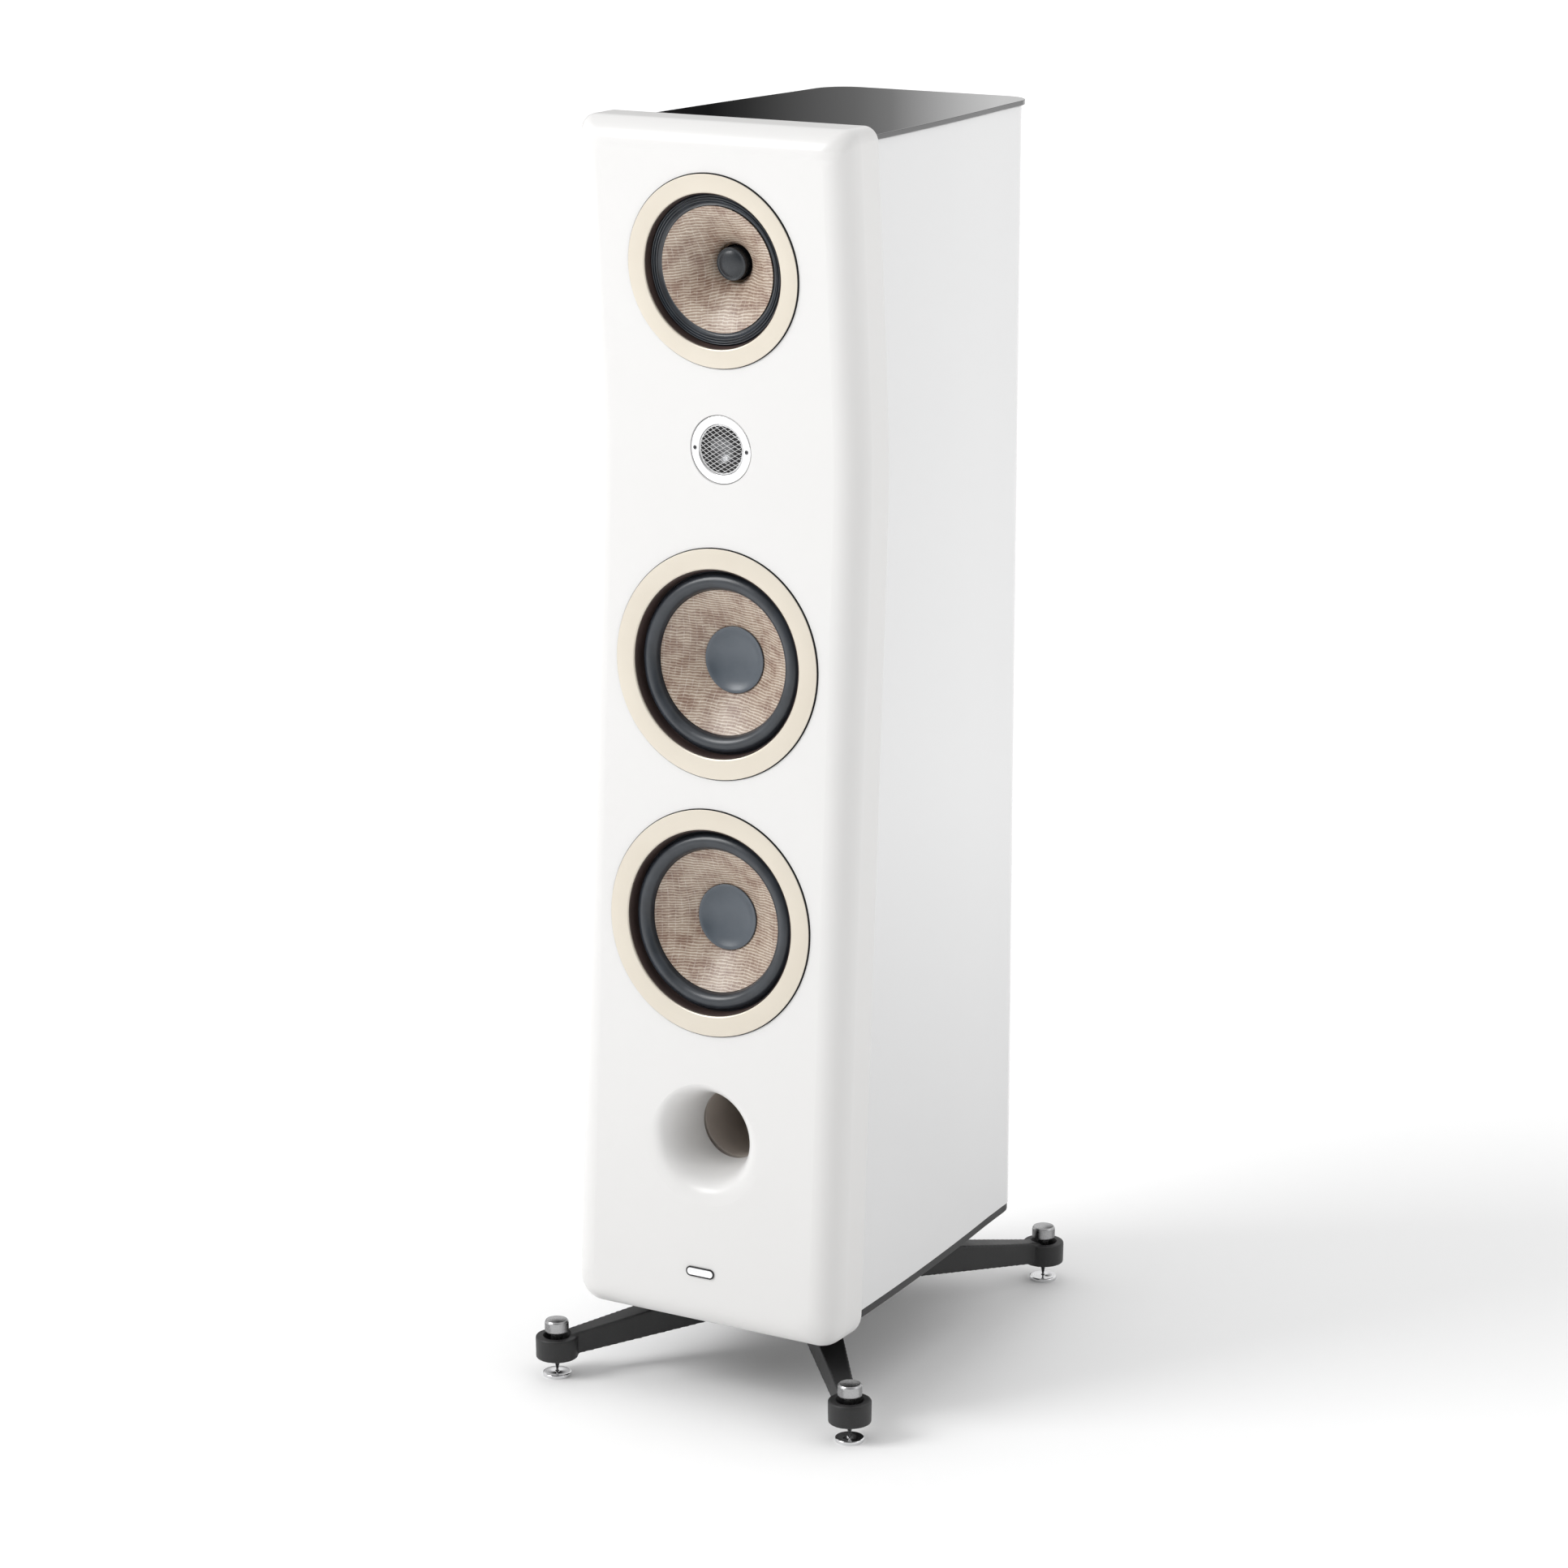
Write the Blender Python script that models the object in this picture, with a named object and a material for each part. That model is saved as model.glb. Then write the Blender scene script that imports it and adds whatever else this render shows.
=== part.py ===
# Three-way floorstanding loudspeaker: folded front baffle, wrapped cabinet,
# four drivers, reflex port, terminals and a cast base on adjustable spikes.
# Metres, +Z up, the front faces -Y, the origin is on the floor under the middle of the footprint.
import math

import bmesh
import bpy
from mathutils import Matrix, Vector

MM = 0.001
GAP = 0.0004                 # clearance left between neighbouring solids

# Cabinet
HEIGHT = 1.267               # floor to the baffle's top edge
BAFFLE_BOTTOM = 0.083
BAFFLE_WIDTH = 0.3014
BAFFLE_EDGE = 0.058          # depth of the baffle at its side
BAFFLE_ROUND = 0.027         # rounding between face and side
BAFFLE_FACE_Y = -0.200       # where the lower and upper faces would cross
KNEE_Z = 0.950
KNEE_SOFTNESS = 0.040
LOWER_LEAN = math.radians(3.3)
UPPER_LEAN = math.radians(5.0)
TOP_CORNER, BOTTOM_CORNER = 0.014, 0.025
SHELL_BOTTOM, SHELL_TOP = 0.1020, 1.2520
SHELL_BACK_Y = 0.2095
SHELL_WALL = 0.022
SHELL_CORNER = 0.030
GLASS_THICK, GLASS_OVERHANG = 0.005, 0.003
BOARD = 0.022
BASE_PLATE = 0.0085

# Drivers: height of the centre, radius of the trim ring
UPPER_WOOFER_Z, LOWER_WOOFER_Z, WOOFER_R = 0.7486, 0.4942, 0.1121
MID_Z, MID_R = 1.1275, 0.0930
TWEETER_Z, TWEETER_R = 0.9559, 0.0330
PORT_Z, PORT_R, PORT_MOUTH_R = 0.2775, 0.035, 0.070
BADGE_Z = 0.1413

# Base and feet
FOOT_Y, FRONT_FOOT_X, REAR_FOOT_X = 0.247, 0.170, 0.126
BOSS_BOTTOM, BOSS_TOP = 0.0195, 0.0425
ARM_WIDTH, HUB_ARM_WIDTH = 0.016, 0.040
ARM_RISE, ARM_UNDERSIDE_RISE = 0.20, 0.145
HUB_Y, HUB_BOTTOM, HUB_TOP = -0.045, 0.056, 0.0927

SEG = 24                     # sides of the large round parts
FINE = 16                    # sides of the small round parts
LEVELS = (0.80, 0.87, 0.91, 0.935, 0.95, 0.965, 0.99, 1.03, 1.10)


def soft_ramp(u):
    return 0.5 * (u + math.hypot(u, KNEE_SOFTNESS))


def face_y(z):
    lower = math.tan(LOWER_LEAN) * soft_ramp(KNEE_Z - z)
    upper = math.tan(UPPER_LEAN) * soft_ramp(z - KNEE_Z)
    return BAFFLE_FACE_Y - lower - upper


def lean_at(z):
    step = 0.001
    return math.atan((face_y(z + step) - face_y(z - step)) / (2 * step))


def material(name, colour, roughness, metallic=0.0):
    mat = bpy.data.materials.new(name)
    mat.use_nodes = True
    shader = mat.node_tree.nodes["Principled BSDF"]
    shader.inputs["Base Color"].default_value = (*colour, 1.0)
    shader.inputs["Roughness"].default_value = roughness
    shader.inputs["Metallic"].default_value = metallic
    return mat


def add_object(name, bm, mat, parent=None, matrix=None):
    bmesh.ops.recalc_face_normals(bm, faces=bm.faces)
    mesh = bpy.data.meshes.new(name)
    bm.to_mesh(mesh)
    bm.free()
    mesh.shade_smooth()
    mesh.set_sharp_from_angle(angle=math.radians(35))
    mesh.materials.append(mat)
    obj = bpy.data.objects.new(name, mesh)
    bpy.context.scene.collection.objects.link(obj)
    if parent:
        obj.parent = parent
    if matrix:
        obj.matrix_local = matrix
    return obj


def add_axis(name, location, rotation=(0.0, 0.0, 0.0)):
    empty = bpy.data.objects.new(name, None)
    empty.location = location
    empty.rotation_euler = rotation
    empty.empty_display_size = 0.05
    bpy.context.scene.collection.objects.link(empty)
    return empty


def lathe(profile, sides):
    # Turns a closed outline of (radius, height) points in millimetres about local Z.
    # A radius of 0 makes a pole.
    bm = bmesh.new()
    rings = []
    for r, z in profile:
        if r == 0:
            rings.append([bm.verts.new((0, 0, z * MM))])
            continue
        turn = [2 * math.pi * k / sides for k in range(sides)]
        points = [(r * MM * math.cos(a), r * MM * math.sin(a), z * MM) for a in turn]
        rings.append([bm.verts.new(p) for p in points])
    for i, here in enumerate(rings):
        there = rings[(i + 1) % len(rings)]
        for k in range(sides):
            n = (k + 1) % sides
            corners = [here[k % len(here)], here[n % len(here)],
                       there[n % len(there)], there[k % len(there)]]
            corners = list(dict.fromkeys(corners))
            if len(corners) > 2:
                bm.faces.new(corners)
    return bm


def turned(name, profile, mat, parent=None, sides=SEG, matrix=None):
    return add_object(name, lathe(profile, sides), mat, parent, matrix)


def prism(outline, z_low, z_high):
    bm = bmesh.new()
    low = [bm.verts.new((x, y, z_low)) for x, y in outline]
    high = [bm.verts.new((x, y, z_high)) for x, y in outline]
    bm.faces.new(low)
    bm.faces.new(high)
    for i in range(len(outline)):
        n = (i + 1) % len(outline)
        bm.faces.new((low[i], low[n], high[n], high[i]))
    return bm


def box(low, high):
    outline = [(low[0], low[1]), (high[0], low[1]), (high[0], high[1]), (low[0], high[1])]
    return prism(outline, low[2], high[2])


def cut(obj, cutter):
    cutter.hide_render = True
    cutter.display_type = "WIRE"
    modifier = obj.modifiers.new(cutter.name, "BOOLEAN")
    modifier.operation = "DIFFERENCE"
    modifier.solver = "EXACT"
    modifier.object = cutter


def offset_path(path, distance):
    # Moves an open plan path sideways, keeping its two ends on their front line.
    # Positive is to the left of its direction.
    moved = []
    for i, (x, y) in enumerate(path):
        before, after = path[max(i - 1, 0)], path[min(i + 1, len(path) - 1)]
        along = Vector((after[0] - before[0], after[1] - before[1])).normalized()
        moved.append((x - along.y * distance, y + along.x * distance))
    moved[0] = (moved[0][0], path[0][1])
    moved[-1] = (moved[-1][0], path[-1][1])
    return moved


def side_half_width(y):
    depth = y - BAFFLE_FACE_Y
    return 0.1385 - 0.02 * depth - 0.12 * depth ** 2


def shell_path(front_y):
    # Plan outline of the wrap, from the right front edge round the back to the left one.
    corner_y = SHELL_BACK_Y - SHELL_CORNER
    right = []
    for k in range(6):
        y = front_y + (corner_y - front_y) * k / 5
        right.append((side_half_width(y), y))
    centre_x = side_half_width(corner_y) - SHELL_CORNER
    for k in range(1, 5):
        a = math.pi / 2 * k / 4
        right.append((centre_x + SHELL_CORNER * math.cos(a), corner_y + SHELL_CORNER * math.sin(a)))
    return right + [(-x, y) for x, y in reversed(right)]


def back_of_baffle(z):
    return face_y(z) + BAFFLE_EDGE + GAP


# Baffle: rows of the outline share their heights, so the face can follow the fold.
def baffle_half(inset, depth):
    half = BAFFLE_WIDTH / 2 - inset
    low, high = BAFFLE_BOTTOM + inset, HEIGHT - inset
    fade = 1 - inset / BAFFLE_ROUND
    bottom_r = 0.004 + (BOTTOM_CORNER - 0.004) * fade
    top_r = 0.004 + (TOP_CORNER - 0.004) * fade
    points = []
    for k in range(4):
        a = math.pi / 2 * (k / 3 - 1)
        points.append((half - bottom_r + bottom_r * math.cos(a), low + bottom_r + bottom_r * math.sin(a)))
    points += [(half, z) for z in LEVELS]
    for k in range(3):
        a = math.pi / 2 * k / 2
        points.append((half - top_r + top_r * math.cos(a), high - top_r + top_r * math.sin(a)))
    return [(x, face_y(z) + depth, z) for x, z in points]


def make_baffle(mat):
    sections = [(0.0, BAFFLE_EDGE)]
    for k in range(4):
        a = math.pi / 2 * k / 3
        sections.append((BAFFLE_ROUND * (1 - math.cos(a)), BAFFLE_ROUND * (1 - math.sin(a))))
    bm = bmesh.new()
    loops = []
    for inset, depth in sections:
        half = baffle_half(inset, depth)
        right = [bm.verts.new(p) for p in half]
        left = [bm.verts.new((-x, y, z)) for x, y, z in half]
        loops.append((right, left))
    for right, left in (loops[0], loops[-1]):
        for k in range(len(right) - 1):
            bm.faces.new((right[k], right[k + 1], left[k + 1], left[k]))
    for (right, left), (next_right, next_left) in zip(loops, loops[1:]):
        ring = right + left[::-1]
        next_ring = next_right + next_left[::-1]
        for k in range(len(ring)):
            n = (k + 1) % len(ring)
            bm.faces.new((ring[k], ring[n], next_ring[n], next_ring[k]))
    return add_object("front_baffle", bm, mat)


def driver_hole(name, axis, ring_r, flange_r, hole_r):
    # Stepped hole: the trim ring's seat, the basket flange's seat and the way through.
    profile = [(0, 20), (ring_r + 0.5, 20), (ring_r + 0.5, -5.4), (flange_r + 0.5, -5.4),
               (flange_r + 0.5, -11.6), (hole_r, -11.6), (hole_r, -90), (0, -90)]
    return turned(name, profile, cutter_mat, axis)


def port_flare(steps=6, outer=56.0):
    # The mouth's depth grows with a power of the way in from its outer edge.
    radii = [outer - (outer - PORT_R / MM) * k / steps for k in range(steps + 1)]
    span = (PORT_MOUTH_R - PORT_R) / MM
    return [(r, -60.0 * ((PORT_MOUTH_R / MM - r) / span) ** 4.3) for r in radii]


def make_shell(mat):
    bm = bmesh.new()
    rows = []
    for z in (SHELL_BOTTOM, *LEVELS, SHELL_TOP):
        outer = shell_path(back_of_baffle(z))
        inner = offset_path(outer, SHELL_WALL)
        rows.append([[bm.verts.new((x, y, z)) for x, y in path] for path in (outer, inner)])
    for outer, inner in (rows[0], rows[-1]):
        for k in range(len(outer) - 1):
            bm.faces.new((outer[k], outer[k + 1], inner[k + 1], inner[k]))
    for (outer, inner), (next_outer, next_inner) in zip(rows, rows[1:]):
        ring = outer + inner[::-1]
        next_ring = next_outer + next_inner[::-1]
        for k in range(len(ring)):
            n = (k + 1) % len(ring)
            bm.faces.new((ring[k], ring[n], next_ring[n], next_ring[k]))
    return add_object("cabinet_wrap", bm, mat)


def inner_outline(z_low, z_high):
    front = max(back_of_baffle(z_low), back_of_baffle(z_high))
    return offset_path(shell_path(front), SHELL_WALL + GAP)


def make_board(name, z_low, z_high, mat):
    return add_object(name, prism(inner_outline(z_low, z_high), z_low, z_high), mat)


def make_window_brace(name, z_low, z_high, mat):
    outline = inner_outline(z_low, z_high)
    middle = (min(y for x, y in outline) + max(y for x, y in outline)) / 2
    window = [(x * 0.62, middle + (y - middle) * 0.62) for x, y in outline]
    bm = bmesh.new()
    loops = [[bm.verts.new((x, y, z)) for x, y in path]
             for path, z in ((outline, z_low), (outline, z_high), (window, z_high), (window, z_low))]
    for i in range(4):
        here, there = loops[i], loops[(i + 1) % 4]
        for k in range(len(outline)):
            n = (k + 1) % len(outline)
            bm.faces.new((here[k], here[n], there[n], there[k]))
    return add_object(name, bm, mat)


def plan_cover(name, z_low, z_high, overhang, front_y, mat):
    outline = offset_path(shell_path(front_y), -overhang)
    return add_object(name, prism(outline, z_low, z_high), mat)


# Windowed basket: the cone between two rings keeps only its spokes.
def make_basket(name, flange, throat, mat, axis, sides=SEG, spoke_every=4):
    # flange and throat are closed rings of (radius, height) whose first two points
    # face each other across the windows, outer point first.
    bm = bmesh.new()

    def ring_grid(profile):
        grid = []
        for k in range(sides):
            a = 2 * math.pi * k / sides
            x, y = MM * math.cos(a), MM * math.sin(a)
            grid.append([bm.verts.new((r * x, r * y, z * MM)) for r, z in profile])
        return grid

    top, bottom = ring_grid(flange), ring_grid(throat)
    for k in range(sides):
        n = (k + 1) % sides
        is_spoke = k % spoke_every == 0
        for grid in (top, bottom):
            count = len(grid[k])
            for j in range(count):
                if j == 0 and is_spoke:
                    continue
                m = (j + 1) % count
                bm.faces.new((grid[k][j], grid[n][j], grid[n][m], grid[k][m]))
        if is_spoke:
            for j in (0, 1):
                bm.faces.new((top[k][j], top[n][j], bottom[n][j], bottom[k][j]))
            for side in (k, n):
                bm.faces.new((top[side][0], top[side][1], bottom[side][1], bottom[side][0]))
    return add_object(name, bm, mat, axis)


def arc(centre, radius, start, stop, steps):
    turn = [math.radians(start + (stop - start) * k / steps) for k in range(steps + 1)]
    return [(centre[0] + radius * math.cos(a), centre[1] + radius * math.sin(a)) for a in turn]


def ribbed(r_in, r_out, z, height, waves, thick):
    # A sheet pressed into concentric waves, as an outline of its cross-section.
    steps = waves * 2
    radii = [r_in + (r_out - r_in) * k / steps for k in range(steps + 1)]
    top = [(r, z + (height if k % 2 else 0.0)) for k, r in enumerate(radii)]
    return top + [(r, h - thick) for r, h in reversed(top)]


def make_woofer(prefix, height):
    lean = lean_at(height)
    axis = add_axis(prefix + "_axis", (0, face_y(height) + 0.0003, height), (math.pi / 2 - lean, 0, 0))
    cutter = driver_hole(prefix + "_hole", axis, WOOFER_R / MM, 108.6, 99.5)
    ring = [(112.1, 1.8), (111.3, 2.4), (95.0, 2.4), (91.7, 0.8), (91.7, -5.0), (112.1, -5.0)]
    turned(prefix + "_trim_ring", ring, ring_mat, axis)
    flange = [(98.8, -20.0), (88.6, -20.0), (88.6, -12.8), (97.2, -12.8), (97.2, -5.6), (108.6, -5.6),
              (108.6, -11.2), (98.8, -11.2)]
    throat = [(62.0, -64.0), (56.0, -64.0), (30.0, -64.0), (30.0, -68.0), (62.0, -68.0)]
    make_basket(prefix + "_basket", flange, throat, cast_mat, axis)
    roll = [(96.8, -11.2), (88.2, -11.2)] + arc((79.4, -11.2), 8.2, 0, 180, 4)[1:-1]
    roll += [(71.0, -11.2), (71.0, -12.4)]
    roll += arc((79.4, -12.4), 7.4, 180, 0, 4)[1:-1] + [(88.2, -12.4), (96.8, -12.4)]
    turned(prefix + "_surround", roll, rubber_mat, axis)
    cone = [(70.6, -11.8), (51.0, -22.4), (32.5, -34.6), (20.4, -43.0),
            (20.4, -44.2), (32.5, -35.8), (51.0, -23.6), (70.6, -13.0)]
    turned(prefix + "_cone", cone, flax_mat, axis)
    cap = [(0, -37.6), (12.0, -37.0), (22.0, -35.4), (30.5, -32.6),
           (32.6, -33.2), (23.0, -36.4), (12.0, -38.2), (0, -38.8)]
    turned(prefix + "_dust_cap", cap, cap_mat, axis, 24)
    coil = [(19.9, -43.0), (19.0, -43.0), (19.0, -82.0), (19.9, -82.0)]
    turned(prefix + "_voice_coil", coil, coil_mat, axis, FINE)
    turned(prefix + "_spider", ribbed(20.4, 50.0, -54.0, 2.4, 2, 1.0), spider_mat, axis, FINE)
    magnet = [(60.0, -68.4), (23.0, -68.4), (23.0, -90.0), (60.0, -90.0)]
    turned(prefix + "_magnet", magnet, ferrite_mat, axis, 24)
    yoke = [(0, -66.0), (18.2, -66.0), (18.2, -90.4), (58.0, -90.4), (58.0, -98.0), (0, -98.0)]
    turned(prefix + "_yoke", yoke, steel_mat, axis, 24)
    return cutter


def make_midrange():
    lean = lean_at(MID_Z)
    axis = add_axis("midrange_axis", (0, face_y(MID_Z) + 0.0003, MID_Z), (math.pi / 2 - lean, 0, 0))
    cutter = driver_hole("midrange_hole", axis, MID_R / MM, 89.0, 79.5)
    ring = [(93.0, 1.8), (92.2, 2.4), (77.4, 2.4), (74.4, 0.9), (74.4, -5.0), (93.0, -5.0)]
    turned("midrange_trim_ring", ring, ring_mat, axis)
    flange = [(78.8, -19.0), (70.4, -19.0), (70.4, -10.4), (77.6, -10.4), (77.6, -5.6), (89.0, -5.6),
              (89.0, -11.2), (78.8, -11.2)]
    throat = [(48.0, -58.0), (43.0, -56.5), (26.0, -56.5), (26.0, -60.0), (48.0, -60.0)]
    make_basket("midrange_basket", flange, throat, cast_mat, axis)
    sheet = ribbed(61.2, 71.0, -7.6, 1.8, 2, 0.9)
    half = len(sheet) // 2
    sheet = sheet[:half] + [(77.2, -7.6), (77.2, -8.6)] + sheet[half:]
    turned("midrange_surround", sheet, rubber_mat, axis)
    cone = [(60.8, -7.4), (46.0, -14.4), (29.0, -28.0), (18.8, -41.0),
            (18.8, -42.6), (29.0, -29.4), (46.0, -15.6), (60.8, -8.4)]
    turned("midrange_cone", cone, flax_mat, axis)
    plug = [(0, -31.6), (9.0, -32.0), (14.6, -33.4), (16.2, -35.6), (15.8, -40.0), (14.4, -64.0),
            (0, -64.0)]
    turned("midrange_phase_plug", plug, plug_mat, axis, 24)
    coil = [(18.3, -43.2), (17.5, -43.2), (17.5, -72.0), (18.3, -72.0)]
    turned("midrange_voice_coil", coil, coil_mat, axis, FINE)
    turned("midrange_spider", ribbed(18.8, 42.0, -49.5, 2.0, 2, 1.0), spider_mat, axis, FINE)
    magnet = [(50.0, -60.4), (21.5, -60.4), (21.5, -78.0), (50.0, -78.0)]
    turned("midrange_magnet", magnet, ferrite_mat, axis, 24)
    yoke = [(0, -64.4), (16.8, -64.4), (16.8, -78.4), (48.0, -78.4), (48.0, -85.0), (0, -85.0)]
    turned("midrange_yoke", yoke, steel_mat, axis, 24)
    return cutter


def make_tweeter():
    lean = lean_at(TWEETER_Z)
    axis = add_axis("tweeter_axis", (0, face_y(TWEETER_Z) + 0.0003, TWEETER_Z), (math.pi / 2 - lean, 0, 0))
    seat = TWEETER_R / MM + 0.5
    profile = [(0, 20), (seat, 20), (seat, -5.4), (31.0, -5.4), (31.0, -90), (0, -90)]
    cutter = turned("tweeter_hole", profile, cutter_mat, axis, SEG)
    plate = [(33.0, -0.6), (32.4, 0), (25.2, 0), (24.4, -0.8), (24.4, -3.4), (18.0, -7.0),
             (18.0, -9.0), (30.4, -9.0), (30.4, -5.0), (33.0, -5.0)]
    turned("tweeter_faceplate", plate, silver_mat, axis, SEG)
    grille = [(0, 2.2), (9.0, 1.9), (17.0, 1.0), (24.0, -1.2),
              (24.0, -2.0), (17.0, 0.2), (9.0, 1.1), (0, 1.4)]
    turned("tweeter_grille", grille, mesh_mat, axis, 24)
    dome = [(0, -9.6), (7.0, -8.6), (13.0, -5.4), (14.4, -4.4), (17.0, -5.2), (17.0, -5.7),
            (14.6, -5.1), (13.2, -6.0), (13.2, -14.0), (12.6, -14.0), (12.6, -6.3), (7.0, -9.3),
            (0, -10.3)]
    turned("tweeter_dome", dome, dome_mat, axis, FINE)
    magnet = [(30.0, -9.4), (15.6, -9.4), (15.6, -16.0), (10.6, -16.0), (10.6, -11.4), (0, -11.8),
              (0, -46.0), (30.0, -46.0)]
    turned("tweeter_magnet", magnet, ferrite_mat, axis, 24)
    return cutter


def make_terminals():
    z, back = 0.210, SHELL_BACK_Y
    opening = box((-0.050, back - 0.05, z - 0.030), (0.050, back + 0.05, z + 0.030))
    hole = add_object("terminal_hole", opening, cutter_mat)
    panel = box((-0.062, back + GAP, z - 0.042), (0.062, back + 0.0045, z + 0.042))
    plate = add_object("terminal_plate", panel, plate_mat)
    facing_back = Matrix.Rotation(-math.pi / 2, 4, "X")
    for colour, x, mat in (("red", 0.024, red_mat), ("black", -0.024, black_mat)):
        axis = add_axis("terminal_%s_axis" % colour, (x, back + 0.0045, z))
        bit = [(0, 20), (4.6, 20), (4.6, -20), (0, -20)]
        drill = turned("terminal_%s_drill" % colour, bit, cutter_mat, axis, 16, facing_back)
        cut(plate, drill)
        post = [(0, 26.0), (2.9, 26.0), (2.9, 4.4), (6.5, 4.4), (6.5, 0.4), (4.2, 0.4),
                (4.2, -14.0), (0, -14.0)]
        turned("terminal_post_" + colour, post, brass_mat, axis, 16, facing_back)
        knob = [(3.3, 6.0), (8.4, 6.0), (9.2, 7.0), (9.2, 20.0), (8.2, 21.5), (3.3, 21.5)]
        turned("terminal_knob_" + colour, knob, mat, axis, 16, facing_back)
    return hole


def make_crossover(mat):
    # A board with its coils and capacitors standing on it as raised blocks.
    xs = (-0.075, -0.055, -0.015, 0.0, 0.035, 0.050, 0.075)
    ys = (-0.02, 0.0, 0.035, 0.055, 0.085, 0.110)
    raised = {(1, 1): 0.030, (3, 1): 0.018, (1, 3): 0.018, (3, 3): 0.034}
    z = SHELL_BOTTOM + 0.0232
    bm = bmesh.new()
    grid = [[bm.verts.new((x, y, z + 0.002)) for y in ys] for x in xs]
    floor = [[bm.verts.new((x, y, z)) for y in ys] for x in xs]
    for i in range(len(xs) - 1):
        for j in range(len(ys) - 1):
            quad = (grid[i][j], grid[i + 1][j], grid[i + 1][j + 1], grid[i][j + 1])
            bm.faces.new((floor[i][j], floor[i][j + 1], floor[i + 1][j + 1], floor[i + 1][j]))
            face = bm.faces.new(quad)
            if (i, j) in raised:
                lifted = bmesh.ops.extrude_discrete_faces(bm, faces=[face])["faces"][0]
                bmesh.ops.translate(bm, verts=lifted.verts, vec=(0, 0, raised[i, j]))
    rim = [(i, 0) for i in range(len(xs))] + [(len(xs) - 1, j) for j in range(1, len(ys))]
    rim += [(i, len(ys) - 1) for i in range(len(xs) - 2, -1, -1)]
    rim += [(0, j) for j in range(len(ys) - 2, 0, -1)]
    for (i, j), (m, n) in zip(rim, rim[1:] + rim[:1]):
        bm.faces.new((floor[i][j], floor[m][n], grid[m][n], grid[i][j]))
    return add_object("crossover_board", bm, mat)


def arm_end(foot, stop_short):
    # Direction from a foot to the hub, and the length of the bar between them.
    to_hub = Vector((-foot.x, HUB_Y - foot.y, 0))
    return to_hub.normalized(), to_hub.length - stop_short


def make_arm(name, foot, stop_short, mat):
    # A bar from the foot's boss to the hub: it rises, deepens and widens on the way.
    along, reach = arm_end(foot, stop_short)
    across = Vector((-along.y, along.x, 0))
    bar = bmesh.new()
    loops = []
    near, far = 0.010, reach * 0.86
    for distance, top in ((near, BOSS_TOP - 0.0005), (far, BOSS_TOP + ARM_RISE * far), (reach, HUB_TOP)):
        low = BOSS_BOTTOM + 0.0005 + ARM_UNDERSIDE_RISE * distance
        half = (ARM_WIDTH + (HUB_ARM_WIDTH - ARM_WIDTH) * distance / reach) / 2
        centre = foot + along * distance
        ends = [centre - across * half, centre + across * half]
        corners = [(p, low) for p in ends] + [(p, top) for p in reversed(ends)]
        loops.append([bar.verts.new((p.x, p.y, z)) for p, z in corners])
    for here, there in zip(loops, loops[1:]):
        for k in range(4):
            n = (k + 1) % 4
            bar.faces.new((here[k], here[n], there[n], there[k]))
    bar.faces.new(loops[0])
    bar.faces.new(loops[-1])
    arm = add_object(name, bar, mat)
    high, low = BOSS_TOP / MM, BOSS_BOTTOM / MM
    profile = [(0, low), (21.5, low), (21.5, high - 0.7), (20.8, high), (0, high)]
    boss = turned(name + "_boss", profile, mat, None, 24, Matrix.Translation(foot))
    boss.hide_render = True
    boss.display_type = "WIRE"
    join = arm.modifiers.new("boss", "BOOLEAN")
    join.operation = "UNION"
    join.solver = "EXACT"
    join.object = boss
    profile = [(0, 60), (13.25, 60), (13.25, 30.5), (6.6, 30.5), (6.6, 0), (0, 0)]
    bore = turned(name + "_bore", profile, mat, None, FINE, Matrix.Translation(foot))
    cut(arm, bore)
    return arm


def make_hub(spots, mat):
    corners = []
    for foot, stop_short in spots:
        along, reach = arm_end(foot, stop_short)
        across = Vector((-along.y, along.x, 0))
        centre = foot + along * (reach + GAP)
        corners += [centre - across * HUB_ARM_WIDTH / 2, centre + across * HUB_ARM_WIDTH / 2]
    corners.sort(key=lambda p: math.atan2(p.y - HUB_Y, p.x))
    return add_object("base_hub", prism([(p.x, p.y) for p in corners], HUB_BOTTOM, HUB_TOP), mat)


def make_foot(name, foot):
    axis = add_axis(name + "_axis", foot)
    # The spike's tip stands in the pad's dimple. Knob, stem and spike are one turned piece.
    screw = [(0, 2.8), (0.5, 3.3), (3.9, 19.0), (6.0, 21.0), (6.0, 46.8), (11.6, 46.8),
             (12.0, 47.2), (12.0, 57.6), (10.6, 59.4), (0, 59.4)]
    turned("foot_screw_" + name, screw, steel_mat, axis, FINE)
    pad = [(0, 2.2), (2.6, 4.0), (13.9, 4.0), (14.5, 3.4), (14.5, 0.4), (14.1, 0), (0, 0)]
    turned("foot_pad_" + name, pad, chrome_mat, axis, 24)


for obj in list(bpy.data.objects):
    bpy.data.objects.remove(obj, do_unlink=True)

baffle_mat = material("white_satin_lacquer", (0.86, 0.85, 0.84), 0.32)
shell_mat = material("white_gloss_lacquer", (0.80, 0.80, 0.80), 0.12)
board_mat = material("fibreboard", (0.42, 0.30, 0.19), 0.80)
glass_mat = material("black_glass", (0.010, 0.010, 0.011), 0.04)
ring_mat = material("champagne_aluminium", (0.83, 0.77, 0.66), 0.35, 0.9)
rubber_mat = material("surround_rubber", (0.060, 0.065, 0.075), 0.45)
flax_mat = material("flax_cone", (0.60, 0.47, 0.31), 0.60)
cap_mat = material("slate_cap", (0.16, 0.17, 0.19), 0.35)
plug_mat = material("phase_plug_black", (0.030, 0.030, 0.032), 0.40)
cast_mat = material("cast_basket", (0.055, 0.055, 0.058), 0.55, 0.3)
coil_mat = material("voice_coil_former", (0.48, 0.24, 0.10), 0.40, 0.6)
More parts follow.
